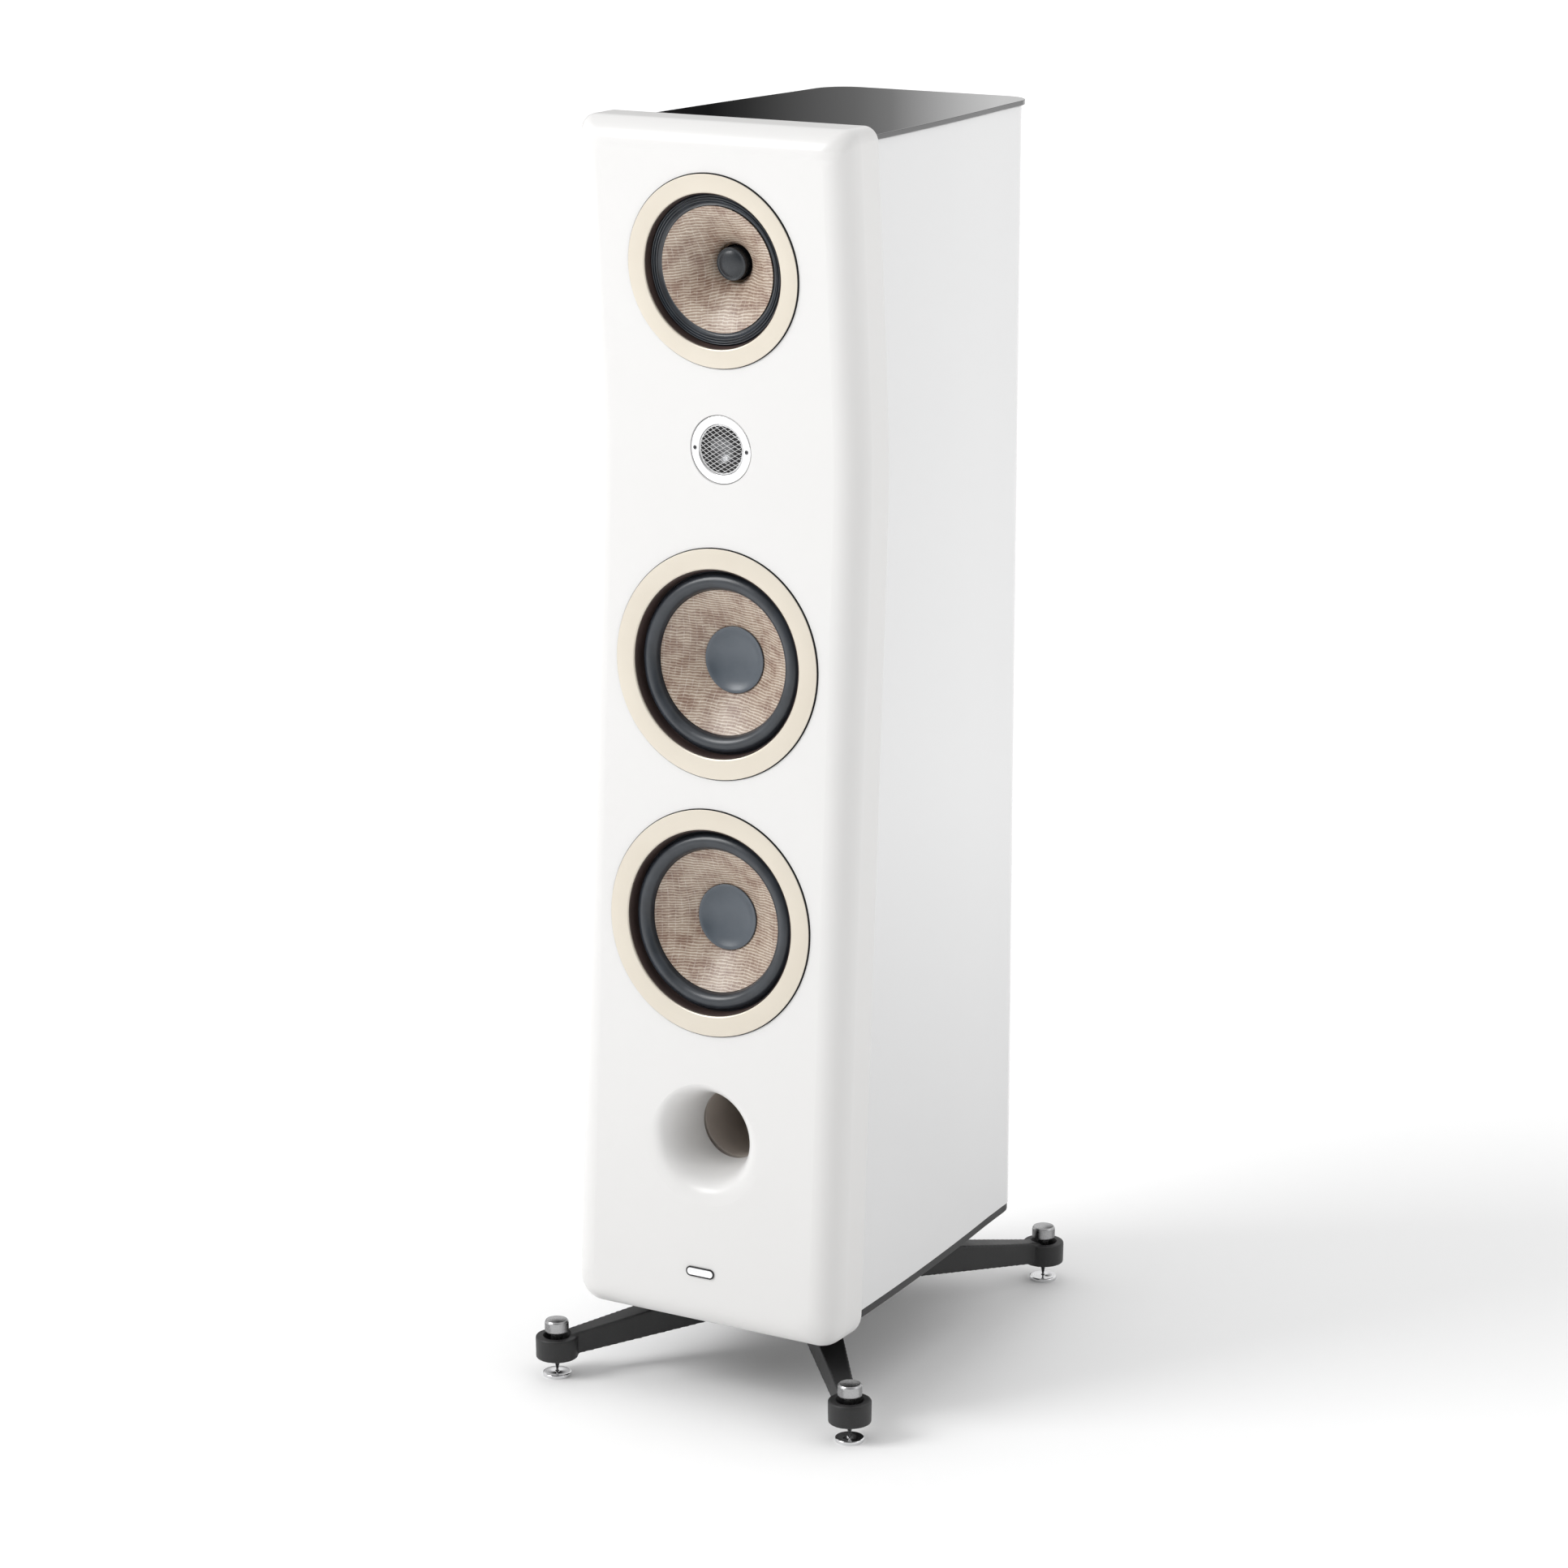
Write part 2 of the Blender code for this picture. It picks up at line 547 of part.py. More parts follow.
spider_mat = material("spider_cloth", (0.52, 0.40, 0.20), 0.85)
ferrite_mat = material("ferrite", (0.045, 0.045, 0.048), 0.65)
steel_mat = material("brushed_steel", (0.62, 0.62, 0.63), 0.30, 1.0)
chrome_mat = material("polished_steel", (0.80, 0.80, 0.81), 0.12, 1.0)
silver_mat = material("silver_plate", (0.70, 0.70, 0.71), 0.25, 1.0)
mesh_mat = material("grille_mesh", (0.45, 0.45, 0.46), 0.35, 1.0)
dome_mat = material("beryllium_dome", (0.35, 0.36, 0.38), 0.30, 1.0)
port_mat = material("port_plastic", (0.09, 0.08, 0.07), 0.55)
plate_mat = material("terminal_plate_plastic", (0.035, 0.035, 0.036), 0.40)
brass_mat = material("plated_brass", (0.80, 0.60, 0.30), 0.22, 1.0)
red_mat = material("red_knob", (0.45, 0.02, 0.02), 0.35)
black_mat = material("black_knob", (0.02, 0.02, 0.02), 0.35)
circuit_mat = material("crossover", (0.08, 0.17, 0.09), 0.50)
base_mat = material("black_cast_base", (0.040, 0.040, 0.042), 0.55)
cutter_mat = material("cutter", (1.0, 0.2, 0.2), 0.5)

baffle = make_baffle(baffle_mat)
cut(baffle, make_woofer("upper_woofer", UPPER_WOOFER_Z))
cut(baffle, make_woofer("lower_woofer", LOWER_WOOFER_Z))
cut(baffle, make_midrange())
cut(baffle, make_tweeter())

# The port runs level, so its flare is measured from the face at the port's height.
facing_front = Matrix.Rotation(math.pi / 2, 4, "X")
port_axis = add_axis("port_axis", (0, face_y(PORT_Z), PORT_Z))
flare = port_flare()
mouth = [(0, 25.0), (flare[0][0] + 2.0, 25.0), (flare[0][0] + 2.0, 2.0)] + flare
mouth += [(35.0, -90.0), (0, -90.0)]
cut(baffle, turned("port_mouth", mouth, cutter_mat, port_axis, SEG, facing_front))
tube = [(35.0, -61.6), (35.0, -200.0), (38.0, -214.0), (41.0, -214.0), (38.0, -198.0), (38.0, -67.0),
        (44.0, -67.0), (44.0, -61.6)]
turned("port_tube", tube, port_mat, port_axis, 24, facing_front)

shell = make_shell(shell_mat)
cut(shell, make_terminals())
glass_low = SHELL_TOP + GAP
plan_cover("top_glass", glass_low, glass_low + GLASS_THICK, GLASS_OVERHANG,
           max(back_of_baffle(glass_low), back_of_baffle(glass_low + GLASS_THICK)), glass_mat)
make_board("top_board", SHELL_TOP - BOARD, SHELL_TOP, board_mat)
make_board("bottom_board", SHELL_BOTTOM, SHELL_BOTTOM + BOARD, board_mat)
make_board("chamber_divider", 0.905, 0.905 + BOARD, board_mat)
make_window_brace("window_brace", 0.612, 0.612 + BOARD, board_mat)
make_crossover(circuit_mat)
plan_cover("base_plate", SHELL_BOTTOM - GAP - BASE_PLATE, SHELL_BOTTOM - GAP, -0.001,
           back_of_baffle(SHELL_BOTTOM), base_mat)

badge_turn = (math.pi / 2 - lean_at(BADGE_Z), 0, 0)
badge_axis = add_axis("badge_axis", (0, face_y(BADGE_Z) - 0.0003, BADGE_Z), badge_turn)
badge_outline = []
for side in (1, -1):
    for k in range(7):
        a = math.radians(90 - 30 * k) if side == 1 else math.radians(270 - 30 * k)
        badge_outline.append((side * 0.011 + 0.005 * math.cos(a), 0.005 * math.sin(a)))
add_object("front_badge", prism(badge_outline, 0.0, 0.0012), chrome_mat, badge_axis)

# Where each foot stands, and how far short of the hub its arm stops.
feet = {"front_left": (Vector((-FRONT_FOOT_X, -FOOT_Y, 0)), 0.036),
        "front_right": (Vector((FRONT_FOOT_X, -FOOT_Y, 0)), 0.036),
        "rear_left": (Vector((-REAR_FOOT_X, FOOT_Y, 0)), 0.056),
        "rear_right": (Vector((REAR_FOOT_X, FOOT_Y, 0)), 0.056)}
for place, (spot, stop_short) in feet.items():
    make_arm("base_arm_" + place, spot, stop_short, base_mat)
    make_foot(place, spot)
make_hub(feet.values(), base_mat)
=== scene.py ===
# Floorstanding loudspeaker: the finished pieces and their materials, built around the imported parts.
# Everything is in metres, the front faces -Y, and outlines of turned parts are in millimetres.
import math

import bmesh
import bpy
from mathutils import Matrix, Vector


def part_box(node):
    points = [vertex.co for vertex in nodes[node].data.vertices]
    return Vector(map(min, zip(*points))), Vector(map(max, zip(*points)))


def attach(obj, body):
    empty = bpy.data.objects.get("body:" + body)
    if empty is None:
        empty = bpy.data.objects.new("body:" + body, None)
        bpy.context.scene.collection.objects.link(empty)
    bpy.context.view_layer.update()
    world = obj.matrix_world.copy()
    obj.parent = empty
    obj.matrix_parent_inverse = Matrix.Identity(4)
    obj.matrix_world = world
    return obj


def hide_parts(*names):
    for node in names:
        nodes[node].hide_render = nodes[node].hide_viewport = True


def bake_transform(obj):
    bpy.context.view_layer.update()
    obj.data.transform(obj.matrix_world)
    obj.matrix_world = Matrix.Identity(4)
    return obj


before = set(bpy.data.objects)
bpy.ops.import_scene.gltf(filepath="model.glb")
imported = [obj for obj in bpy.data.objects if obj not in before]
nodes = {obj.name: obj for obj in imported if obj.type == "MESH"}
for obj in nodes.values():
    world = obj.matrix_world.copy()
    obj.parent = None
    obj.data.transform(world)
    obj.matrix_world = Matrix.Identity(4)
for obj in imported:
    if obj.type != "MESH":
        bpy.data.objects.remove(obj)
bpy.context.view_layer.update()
mm = 0.001
tiny = 1e-6
rightwards, inwards, upwards = (1, 0, 0), (0, 1, 0), (0, 0, 1)
print("frame loaded with", len(nodes), "nodes")


baffleShape = {
    "faceY": -0.200,         # where the lower and the upper face would cross
    "foldHeight": 0.950,
    "foldSoftness": 0.040,
    "lowerLean": math.tan(math.radians(3.3)),
    "upperLean": math.tan(math.radians(5.0)),
    "edgeDepth": 0.058,
    "rounding": 0.027,
    "roundingSteps": 9,
    "topCorner": 0.014,
    "bottomCorner": 0.025,
    "cornerSteps": 10,
    "rows": [0.112, 0.125, 0.14, 0.45, 0.75, 0.83, 0.87] + [0.89 + 0.008 * k for k in range(16)]
            + [1.04, 1.10, 1.18, 1.225, 1.24, 1.248],
    "columns": [0.09, 0.112, 0.124],
    "holes": {               # radii of the trim's seat, the basket's seat and the hole, in millimetres
        "upper": (112.1, 108.6, 99.5),
        "lower": (112.1, 108.6, 99.5),
        "mid": (93.0, 89.0, 79.5),
        "tweeter": (33.0, 30.8, 30.8),
    },
}


def faceY(z):
    # Front of the baffle at height z: two leaning faces that meet in a soft fold.
    lift = z - baffleShape["foldHeight"]
    soft = math.hypot(lift, baffleShape["foldSoftness"])
    below = baffleShape["lowerLean"] * 0.5 * (soft - lift)
    above = baffleShape["upperLean"] * 0.5 * (soft + lift)
    return baffleShape["faceY"] - below - above


def leanAt(z):
    return math.atan((faceY(z + 0.001) - faceY(z - 0.001)) / 0.002)


def finishObject(name, bm, material, sharp=38):
    # Turns a finished bmesh into an object at the origin.
    mesh = bpy.data.meshes.new(name)
    bm.to_mesh(mesh)
    bm.free()
    mesh.shade_smooth()
    if sharp:
        mesh.set_sharp_from_angle(angle=math.radians(sharp))
    if material:
        mesh.materials.append(material)
    piece = bpy.data.objects.new(name, mesh)
    bpy.context.scene.collection.objects.link(piece)
    return piece


def applyModifiers(piece):
    # The modified mesh becomes the piece's own, and its modifiers go.
    bpy.context.view_layer.update()
    ready = piece.evaluated_get(bpy.context.evaluated_depsgraph_get())
    mesh = bpy.data.meshes.new_from_object(ready)
    old = piece.data
    piece.modifiers.clear()
    piece.data = mesh
    bpy.data.meshes.remove(old)


def rideAs(piece, body, node):
    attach(piece, body)
    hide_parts(node)


def shadeFrom(piece, sharp):
    # Smooth shading, with creases where two faces meet at more than this many degrees.
    piece.data.shade_smooth()
    piece.data.set_sharp_from_angle(angle=math.radians(sharp))


def sliceAt(bm, direction, distance):
    # A row of edges all round, where the plane at this distance from the origin crosses the shape.
    bmesh.ops.bisect_plane(bm, geom=bm.verts[:] + bm.edges[:] + bm.faces[:],
                           plane_co=Vector(direction) * distance, plane_no=direction)


def blockShape(low, high):
    low, high = Vector(low), Vector(high)
    bm = bmesh.new()
    bmesh.ops.create_cube(bm, size=1)
    bmesh.ops.scale(bm, vec=high - low, verts=bm.verts)
    bmesh.ops.translate(bm, vec=(high + low) / 2, verts=bm.verts)
    return bm


def moveTo(bm, place):
    bmesh.ops.transform(bm, matrix=place, verts=bm.verts)


def centreOf(node):
    low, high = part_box(node)
    return (low + high) / 2


def roundEdges(bm, edges, size, steps):
    bmesh.ops.bevel(bm, geom=edges, offset=size, affect="EDGES", segments=steps, profile=0.5, material=-1)


def roundCorner(bm, corner, size, steps):
    bmesh.ops.bevel(bm, geom=[corner], offset=size, affect="VERTICES", segments=steps, profile=0.5, material=-1)


def evenShading(piece):
    # Large faces set the shading, so the small rounded edges beside them don't bend it.
    weigh = piece.modifiers.new("evenShading", "WEIGHTED_NORMAL")
    weigh.keep_sharp = True


def cutWith(piece, cutters, operation="DIFFERENCE"):
    for cutter in cutters:
        step = piece.modifiers.new(cutter.name, "BOOLEAN")
        step.operation = operation
        step.solver = "EXACT"
        step.object = cutter
    applyModifiers(piece)
    for cutter in cutters:
        bpy.data.objects.remove(cutter, do_unlink=True)


def closePoints(bm, distance=2e-7):
    bmesh.ops.remove_doubles(bm, verts=bm.verts, dist=distance)
    bmesh.ops.dissolve_degenerate(bm, edges=bm.edges, dist=distance)


def spunShape(outline, steps):
    # Spins a closed outline of (radius, height, optional rounding) about Z.
    bm = bmesh.new()
    corners = [bm.verts.new((point[0] * mm, 0, point[1] * mm)) for point in outline]
    bm.faces.new(corners)
    for corner, point in zip(corners, outline):
        if len(point) > 2:
            roundCorner(bm, corner, point[2] * mm, 3)
    bmesh.ops.delete(bm, geom=bm.faces[:], context="FACES_ONLY")
    onAxis = [e for e in bm.edges if all(abs(v.co.x) < 1e-7 for v in e.verts)]
    bmesh.ops.delete(bm, geom=onAxis, context="EDGES")
    bmesh.ops.spin(bm, geom=bm.verts[:] + bm.edges[:], cent=(0, 0, 0), axis=(0, 0, 1),
                   angle=2 * math.pi, steps=steps, use_merge=True)
    closePoints(bm)
    bmesh.ops.recalc_face_normals(bm, faces=bm.faces)
    return bm


def keepOwnPlace(bm):
    # Each point remembers its place about the piece's own axis, for turned patterns.
    layer = bm.verts.layers.float_vector.new("ownPlace")
    for v in bm.verts:
        v[layer] = v.co


def turnedPiece(name, outline, place, material, steps=96, sharp=38):
    bm = spunShape(outline, steps)
    keepOwnPlace(bm)
    moveTo(bm, place)
    return finishObject(name, bm, material, sharp)


def turnedCutter(name, outline, place, steps):
    bm = spunShape(outline, steps)
    moveTo(bm, place)
    return finishObject(name, bm, None)


def turnedPart(name, outline, place, finish, steps, body, node):
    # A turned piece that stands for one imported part.
    piece = turnedPiece(name, outline, place, finishes[finish], steps)
    rideAs(piece, body, node)


def arcPoints(centreR, centreZ, radius, start, stop, steps):
    turns = [math.radians(start + (stop - start) * k / steps) for k in range(steps + 1)]
    return [(centreR + radius * math.cos(t), centreZ + radius * math.sin(t)) for t in turns]


def smoothPoints(points, steps):
    # A soft curve through a few (radius, height) points.
    out = []
    last = len(points) - 1
    for i in range(last):
        near = [points[max(0, min(last, i + k))] for k in (-1, 0, 1, 2)]
        for step in range(steps):
            t = step / steps
            out.append(tuple(0.5 * (2 * b + (c - a) * t + (2 * a - 5 * b + 4 * c - d) * t * t
                                    + (3 * b - a - 3 * c + d) * t ** 3) for a, b, c, d in zip(*near)))
    return out + [points[-1]]


def driverPlace(node, middle):
    # Where a driver sits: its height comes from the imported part, local Z points out of the baffle.
    z = centreOf(node).z
    z -= middle * mm * math.sin(leanAt(z))
    turn = Matrix.Rotation(math.pi / 2 - leanAt(z), 4, "X")
    return Matrix.Translation((0, faceY(z) + 0.0003, z)) @ turn


class Signal:
    # A socket that can be added, multiplied and compared like a number.
    def __init__(self, finish, socket):
        self.finish, self.socket = finish, socket

    def __add__(self, other):
        return self.finish.calc("ADD", self, other)

    def __sub__(self, other):
        return self.finish.calc("SUBTRACT", self, other)

    def __rsub__(self, other):
        return self.finish.calc("SUBTRACT", other, self)

    def __mul__(self, other):
        return self.finish.calc("MULTIPLY", self, other)

    def __truediv__(self, other):
        return self.finish.calc("DIVIDE", self, other)

    def __gt__(self, other):
        return self.finish.calc("GREATER_THAN", self, other)

    __radd__, __rmul__ = __add__, __mul__


class Nodes:
    # The nodes of one material or of the world.
    def __init__(self, owner):
        owner.use_nodes = True
        self.tree = owner.node_tree

    def node(self, kind, settings=None, sockets=None, out=0):
        made = self.tree.nodes.new("ShaderNode" + kind)
        for key, value in (settings or {}).items():
            if key == "stops":
                ramp = made.color_ramp
                while len(ramp.elements) < len(value):
                    ramp.elements.new(0.5)
                for element, (position, colour) in zip(ramp.elements, value):
                    element.position, element.color = position, (*colour, 1.0)
            else:
                setattr(made, key, value)
        for key, value in (sockets or {}).items():
            if isinstance(value, Signal):
                self.tree.links.new(value.socket, made.inputs[key])
            else:
                made.inputs[key].default_value = value
        return Signal(self, made.outputs[out])

    def calc(self, operation, *values):
        return self.node("Math", {"operation": operation}, dict(enumerate(values)))

    def vector(self, operation, a, b=None, out=0):
        sockets = {0: a} if b is None else {0: a, 1: b}
        return self.node("VectorMath", {"operation": operation}, sockets, out)

    def part(self, place, axis):
        return self.node("SeparateXYZ", None, {0: place}, axis)

    def radius(self, place):
        return self.vector("LENGTH", self.vector("MULTIPLY", place, (1, 1, 0)), out="Value")

    def noise(self, place, scale, detail=2.0, roughness=0.5, distortion=0.0):
        return self.node("TexNoise", None, {"Vector": place, "Scale": scale, "Detail": detail,
                                            "Roughness": roughness, "Distortion": distortion})

    def lineNoise(self, along, scale, detail=1.0):
        return self.node("TexNoise", {"noise_dimensions": "1D"}, {"W": along, "Scale": scale, "Detail": detail})

    def fit(self, value, low, high, newLow, newHigh):
        return self.node("MapRange", None, {0: value, 1: low, 2: high, 3: newLow, 4: newHigh})

    def spread(self, noise, low, high):
        # Noise keeps near its middle, so this stretch of it covers the whole range.
        return self.fit(noise, 0.3, 0.7, low, high)

    def shade(self, noise, dark, light):
        return self.mix(self.spread(noise, 0, 1), dark, light)

    def smoothFit(self, value, low, high, newLow=0.0, newHigh=1.0):
        return self.node("MapRange", {"interpolation_type": "SMOOTHSTEP"},
                         {0: value, 1: low, 2: high, 3: newLow, 4: newHigh})

    def mix(self, factor, a, b):
        colours = [(*c, 1.0) if isinstance(c, tuple) else c for c in (a, b)]
        return self.node("Mix", {"data_type": "RGBA"}, {0: factor, 6: colours[0], 7: colours[1]}, 2)

    def bump(self, height, distance, strength=1.0):
        return self.node("Bump", None, {"Strength": strength, "Distance": distance, "Height": height})


class Finish(Nodes):
    # One material: its shader's fixed values, and the nodes that vary the rest.
    def __init__(self, name, colour, roughness, metallic=0.0, **fixed):
        self.material = bpy.data.materials.new(name)
        super().__init__(self.material)
        self.shader = self.tree.nodes["Principled BSDF"]
        values = {"Base Color": (*colour, 1.0), "Roughness": roughness, "Metallic": metallic}
        values.update({key.replace("_", " "): value for key, value in fixed.items()})
        for key, value in values.items():
            self.shader.inputs[key].default_value = value
        self.material.diffuse_color = (*colour, 1.0)

    def place(self):
        return self.node("TexCoord", out="Object")

    def ownPlace(self):
        return self.node("Attribute", {"attribute_name": "ownPlace"}, out="Vector")

    def feed(self, **links):
        for key, value in links.items():
            self.tree.links.new(value.socket, self.shader.inputs[key.replace("_", " ")])
        return self.material


def satinWhite():
    f = Finish("whiteSatinLacquer", (0.76, 0.753, 0.744), 0.38, Coat_Weight=0.12, Coat_Roughness=0.24)
    at = f.place()
    cloud = f.noise(at, 3.5, 3)
    peel = f.noise(at, 650, 3)
    fine = f.noise(at, 2600, 2)
    return f.feed(Base_Color=f.shade(cloud, (0.728, 0.722, 0.714), (0.714, 0.708, 0.700)),
                  Roughness=f.spread(fine, 0.32, 0.40),
                  Normal=f.bump(peel + fine * 0.4, 0.00002, 0.5))


# This white is a little darker than the baffle's: painted shade for the cabinet sides, which turn away from the
# key light.
def glossWhite():
    f = Finish("whiteGlossLacquer", (0.74, 0.74, 0.742), 0.10, Coat_Weight=0.8, Coat_Roughness=0.03)
    at = f.place()
    peel = f.noise(at, 140, 2)
    cloud = f.noise(at, 2.5, 2)
    return f.feed(Base_Color=f.shade(cloud, (0.700, 0.700, 0.702), (0.686, 0.687, 0.690)),
                  Roughness=f.spread(f.noise(at, 22, 4), 0.07, 0.13),
                  Normal=f.bump(peel, 0.00004, 0.35))


def blackGlass():
    f = Finish("blackGlass", (0.006, 0.006, 0.007), 0.03, Coat_Weight=0.5, Coat_Roughness=0.02, IOR=1.52)
    at = f.place()
    dust = f.calc("POWER", f.noise(at, 900, 2), 6.0)
    return f.feed(Base_Color=f.mix(f.fit(dust, 0.05, 0.35, 0, 1), (0.005, 0.005, 0.006), (0.02, 0.02, 0.021)),
                  Roughness=f.fit(f.noise(at, 9, 4), 0.35, 0.7, 0.02, 0.055),
                  Normal=f.bump(f.noise(at, 6, 1), 0.00005, 0.2))


def champagneMetal():
    f = Finish("champagneAluminium", (0.73, 0.67, 0.575), 0.42, 0.5)
    own = f.ownPlace()
    turned = f.lineNoise(f.radius(own), 3800, 2)
    grain = f.noise(own, 2200, 2)
    warm = f.noise(own, 14, 2)
    return f.feed(Base_Color=f.shade(warm, (0.655, 0.606, 0.522), (0.630, 0.578, 0.494)),
                  Roughness=f.fit(turned * 0.5 + grain * 0.5, 0.35, 0.65, 0.38, 0.48),
                  Normal=f.bump(turned + grain * 0.6, 0.00001, 0.6))


def surroundRubber(name, dark, light, coat):
    f = Finish(name, dark, 0.33, Coat_Weight=coat, Coat_Roughness=0.26)
    own = f.ownPlace()
    fine = f.noise(own, 1800, 3)
    bloom = f.noise(own, 45, 3)
    return f.feed(Base_Color=f.mix(f.fit(bloom, 0.35, 0.7, 0, 1), dark, light),
                  Roughness=f.fit(fine * 0.5 + bloom * 0.5, 0.35, 0.65, 0.28, 0.40),
                  Normal=f.bump(fine, 0.00003, 0.4))


def flaxWeave(name, turn, offset):
    # Flat-woven yarns pressed into a cone: pale ribs across, brown gaps, thin ticks down, blotchy brown slubs.
    f = Finish(name, (0.50, 0.41, 0.33), 0.48, Coat_Weight=0.35, Coat_Roughness=0.30)
    own = f.node("Mapping", None, {"Vector": f.ownPlace(), "Location": offset, "Rotation": (0, 0, turn)})
    sway = f.noise(own, 26, 3) - 0.5
    ripple = f.noise(own, 150, 2) - 0.5
    x, y = f.part(own, 0), f.part(own, 1)
    weft = f.calc("SINE", (y + sway * 0.009 + ripple * 0.0014) * (2 * math.pi / 0.00275))
    warp = f.calc("SINE", (x + sway * 0.005 + ripple * 0.0012) * (2 * math.pi / 0.0056))
    fineWarp = f.calc("SINE", (x + ripple * 0.0008) * (2 * math.pi / 0.0016))
    broken = f.noise(f.vector("MULTIPLY", own, (230, 480, 230)), 1.0, 2)
    patches = f.noise(f.vector("MULTIPLY", own, (52, 80, 52)), 1.0, 4, 0.62)
    fibre = f.noise(f.vector("MULTIPLY", own, (420, 3200, 420)), 1.0, 2)
    rib = f.smoothFit(weft, -0.15, 0.90) * f.spread(broken, 0.55, 1.0)
    tick = f.smoothFit(warp, 0.70, 1.0) * f.smoothFit(broken, 0.42, 0.60)
    brown = f.smoothFit(patches * 0.72 + broken * 0.28, 0.42, 0.62)
    gap = f.mix(brown, (0.320, 0.236, 0.176), (0.185, 0.106, 0.074))
    yarn = f.mix(brown, (0.690, 0.612, 0.515), (0.450, 0.350, 0.272))
    cloth = f.mix(rib, gap, yarn)
    cloth = f.mix(tick * 0.30, cloth, (0.74, 0.69, 0.62))
    cloth = f.mix(f.smoothFit(fineWarp, 0.35, 1.0) * 0.20, cloth, (0.24, 0.16, 0.12))
    cloth = f.mix(f.smoothFit(fibre, 0.55, 0.8) * 0.20, cloth, (0.78, 0.73, 0.66))
    return f.feed(Base_Color=cloth, Roughness=f.spread(fibre, 0.38, 0.54),
                  Normal=f.bump(rib * 0.7 + tick * 0.3 + fibre * 0.25, 0.00028, 0.6))


def slateCap():
    f = Finish("slateCap", (0.060, 0.076, 0.096), 0.34, Coat_Weight=0.28, Coat_Roughness=0.34)
    own = f.ownPlace()
    fine = f.noise(own, 2400, 2)
    cloud = f.noise(own, 60, 3)
    return f.feed(Base_Color=f.shade(cloud, (0.052, 0.067, 0.085), (0.064, 0.080, 0.100)),
                  Roughness=f.spread(fine, 0.27, 0.36), Normal=f.bump(fine, 0.00002, 0.35))


def mouldedPlastic(name, colour, lift, roughness, grainScale=1400, depth=0.00005):
    f = Finish(name, colour, roughness)
    at = f.place()
    grain = f.node("TexVoronoi", None, {"Vector": at, "Scale": grainScale}, "Distance")
    cloud = f.noise(at, 30, 3)
    light = tuple(min(1.0, c * lift) for c in colour)
    return f.feed(Base_Color=f.shade(cloud, colour, light),
                  Roughness=f.fit(cloud * 0.5 + grain * 0.5, 0.2, 0.7, roughness - 0.06, roughness + 0.07),
                  Normal=f.bump(grain, depth, 0.5))


def castBlack(name="castBlackPaint"):
    # Fine textured powder coat, rubbed a little lighter on the high grains.
    f = Finish(name, (0.012, 0.012, 0.012), 0.46)
    at = f.place()
    grain = f.noise(at, 1500, 4, 0.6)
    broad = f.noise(at, 35, 3)
    rubbed = f.smoothFit(grain, 0.45, 0.8)
    return f.feed(Base_Color=f.mix(rubbed, (0.009, 0.009, 0.0095), (0.027, 0.027, 0.028)),
                  Roughness=f.spread(broad * 0.4 + grain * 0.6, 0.38, 0.56),
                  Normal=f.bump(grain, 0.00009, 0.55))


def turnedSteel(name, colour, roughness, ridge=2600, depth=0.000012, metallic=1.0):
    # Metal from a lathe: fine rings about its own axis, and a soft change from ring to ring.
    f = Finish(name, colour, roughness, metallic, Anisotropic=0.35)
    own = f.ownPlace()
    rings = f.lineNoise(f.radius(own) + f.part(own, 2) * 0.7, ridge, 2)
    smear = f.noise(own, 240, 3)
    dark = tuple(c * 0.84 for c in colour)
    return f.feed(Base_Color=f.shade(rings, dark, colour),
                  Roughness=f.spread(rings * 0.6 + smear * 0.4, roughness * 0.7, roughness * 1.35),
                  Normal=f.bump(rings, depth, 0.7))


def plainSteel(name, colour, roughness, scale=500, direction=(1, 1, 0.02)):
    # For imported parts: brushing along one direction of the object.
    f = Finish(name, colour, roughness, 1.0)
    at = f.vector("MULTIPLY", f.place(), direction)
    brush = f.noise(at, scale * 4, 3)
    blotch = f.noise(f.place(), 40, 3)
    dark = tuple(c * 0.8 for c in colour)
    return f.feed(Base_Color=f.shade(brush, dark, colour),
                  Roughness=f.spread(brush * 0.6 + blotch * 0.4, roughness * 0.75, roughness * 1.3),
                  Normal=f.bump(brush, 0.00002, 0.5))


def fibreboard():
    f = Finish("fibreboard", (0.42, 0.30, 0.19), 0.82)
    at = f.place()
    layers = f.noise(f.vector("MULTIPLY", at, (1, 1, 8)), 55, 4, 0.6)
    fibres = f.noise(f.vector("MULTIPLY", at, (3, 1, 6)), 420, 3)
    specks = f.smoothFit(f.noise(at, 1300, 2), 0.62, 0.74)
    packed = f.fit(layers * 0.6 + fibres * 0.4, 0.35, 0.65, 0, 1)
    wood = f.mix(packed, (0.34, 0.235, 0.145), (0.50, 0.37, 0.245))
    return f.feed(Base_Color=f.mix(specks * 0.5, wood, (0.17, 0.105, 0.06)),
                  Roughness=f.spread(fibres, 0.74, 0.90), Normal=f.bump(fibres, 0.00015, 0.5))


def ferrite():
    f = Finish("ferrite", (0.045, 0.045, 0.048), 0.62)
    at = f.place()
    grain = f.noise(at, 700, 5, 0.65)
    chips = f.smoothFit(f.node("TexVoronoi", None, {"Vector": at, "Scale": 160.0}, "Distance"), 0.02, 0.18)
    return f.feed(Base_Color=f.mix(grain, (0.03, 0.03, 0.033), (0.075, 0.075, 0.08)),
                  Roughness=f.fit(chips, 0, 1, 0.42, 0.70),
                  Normal=f.bump(grain * 0.6 + chips * 0.4, 0.0001, 0.5))


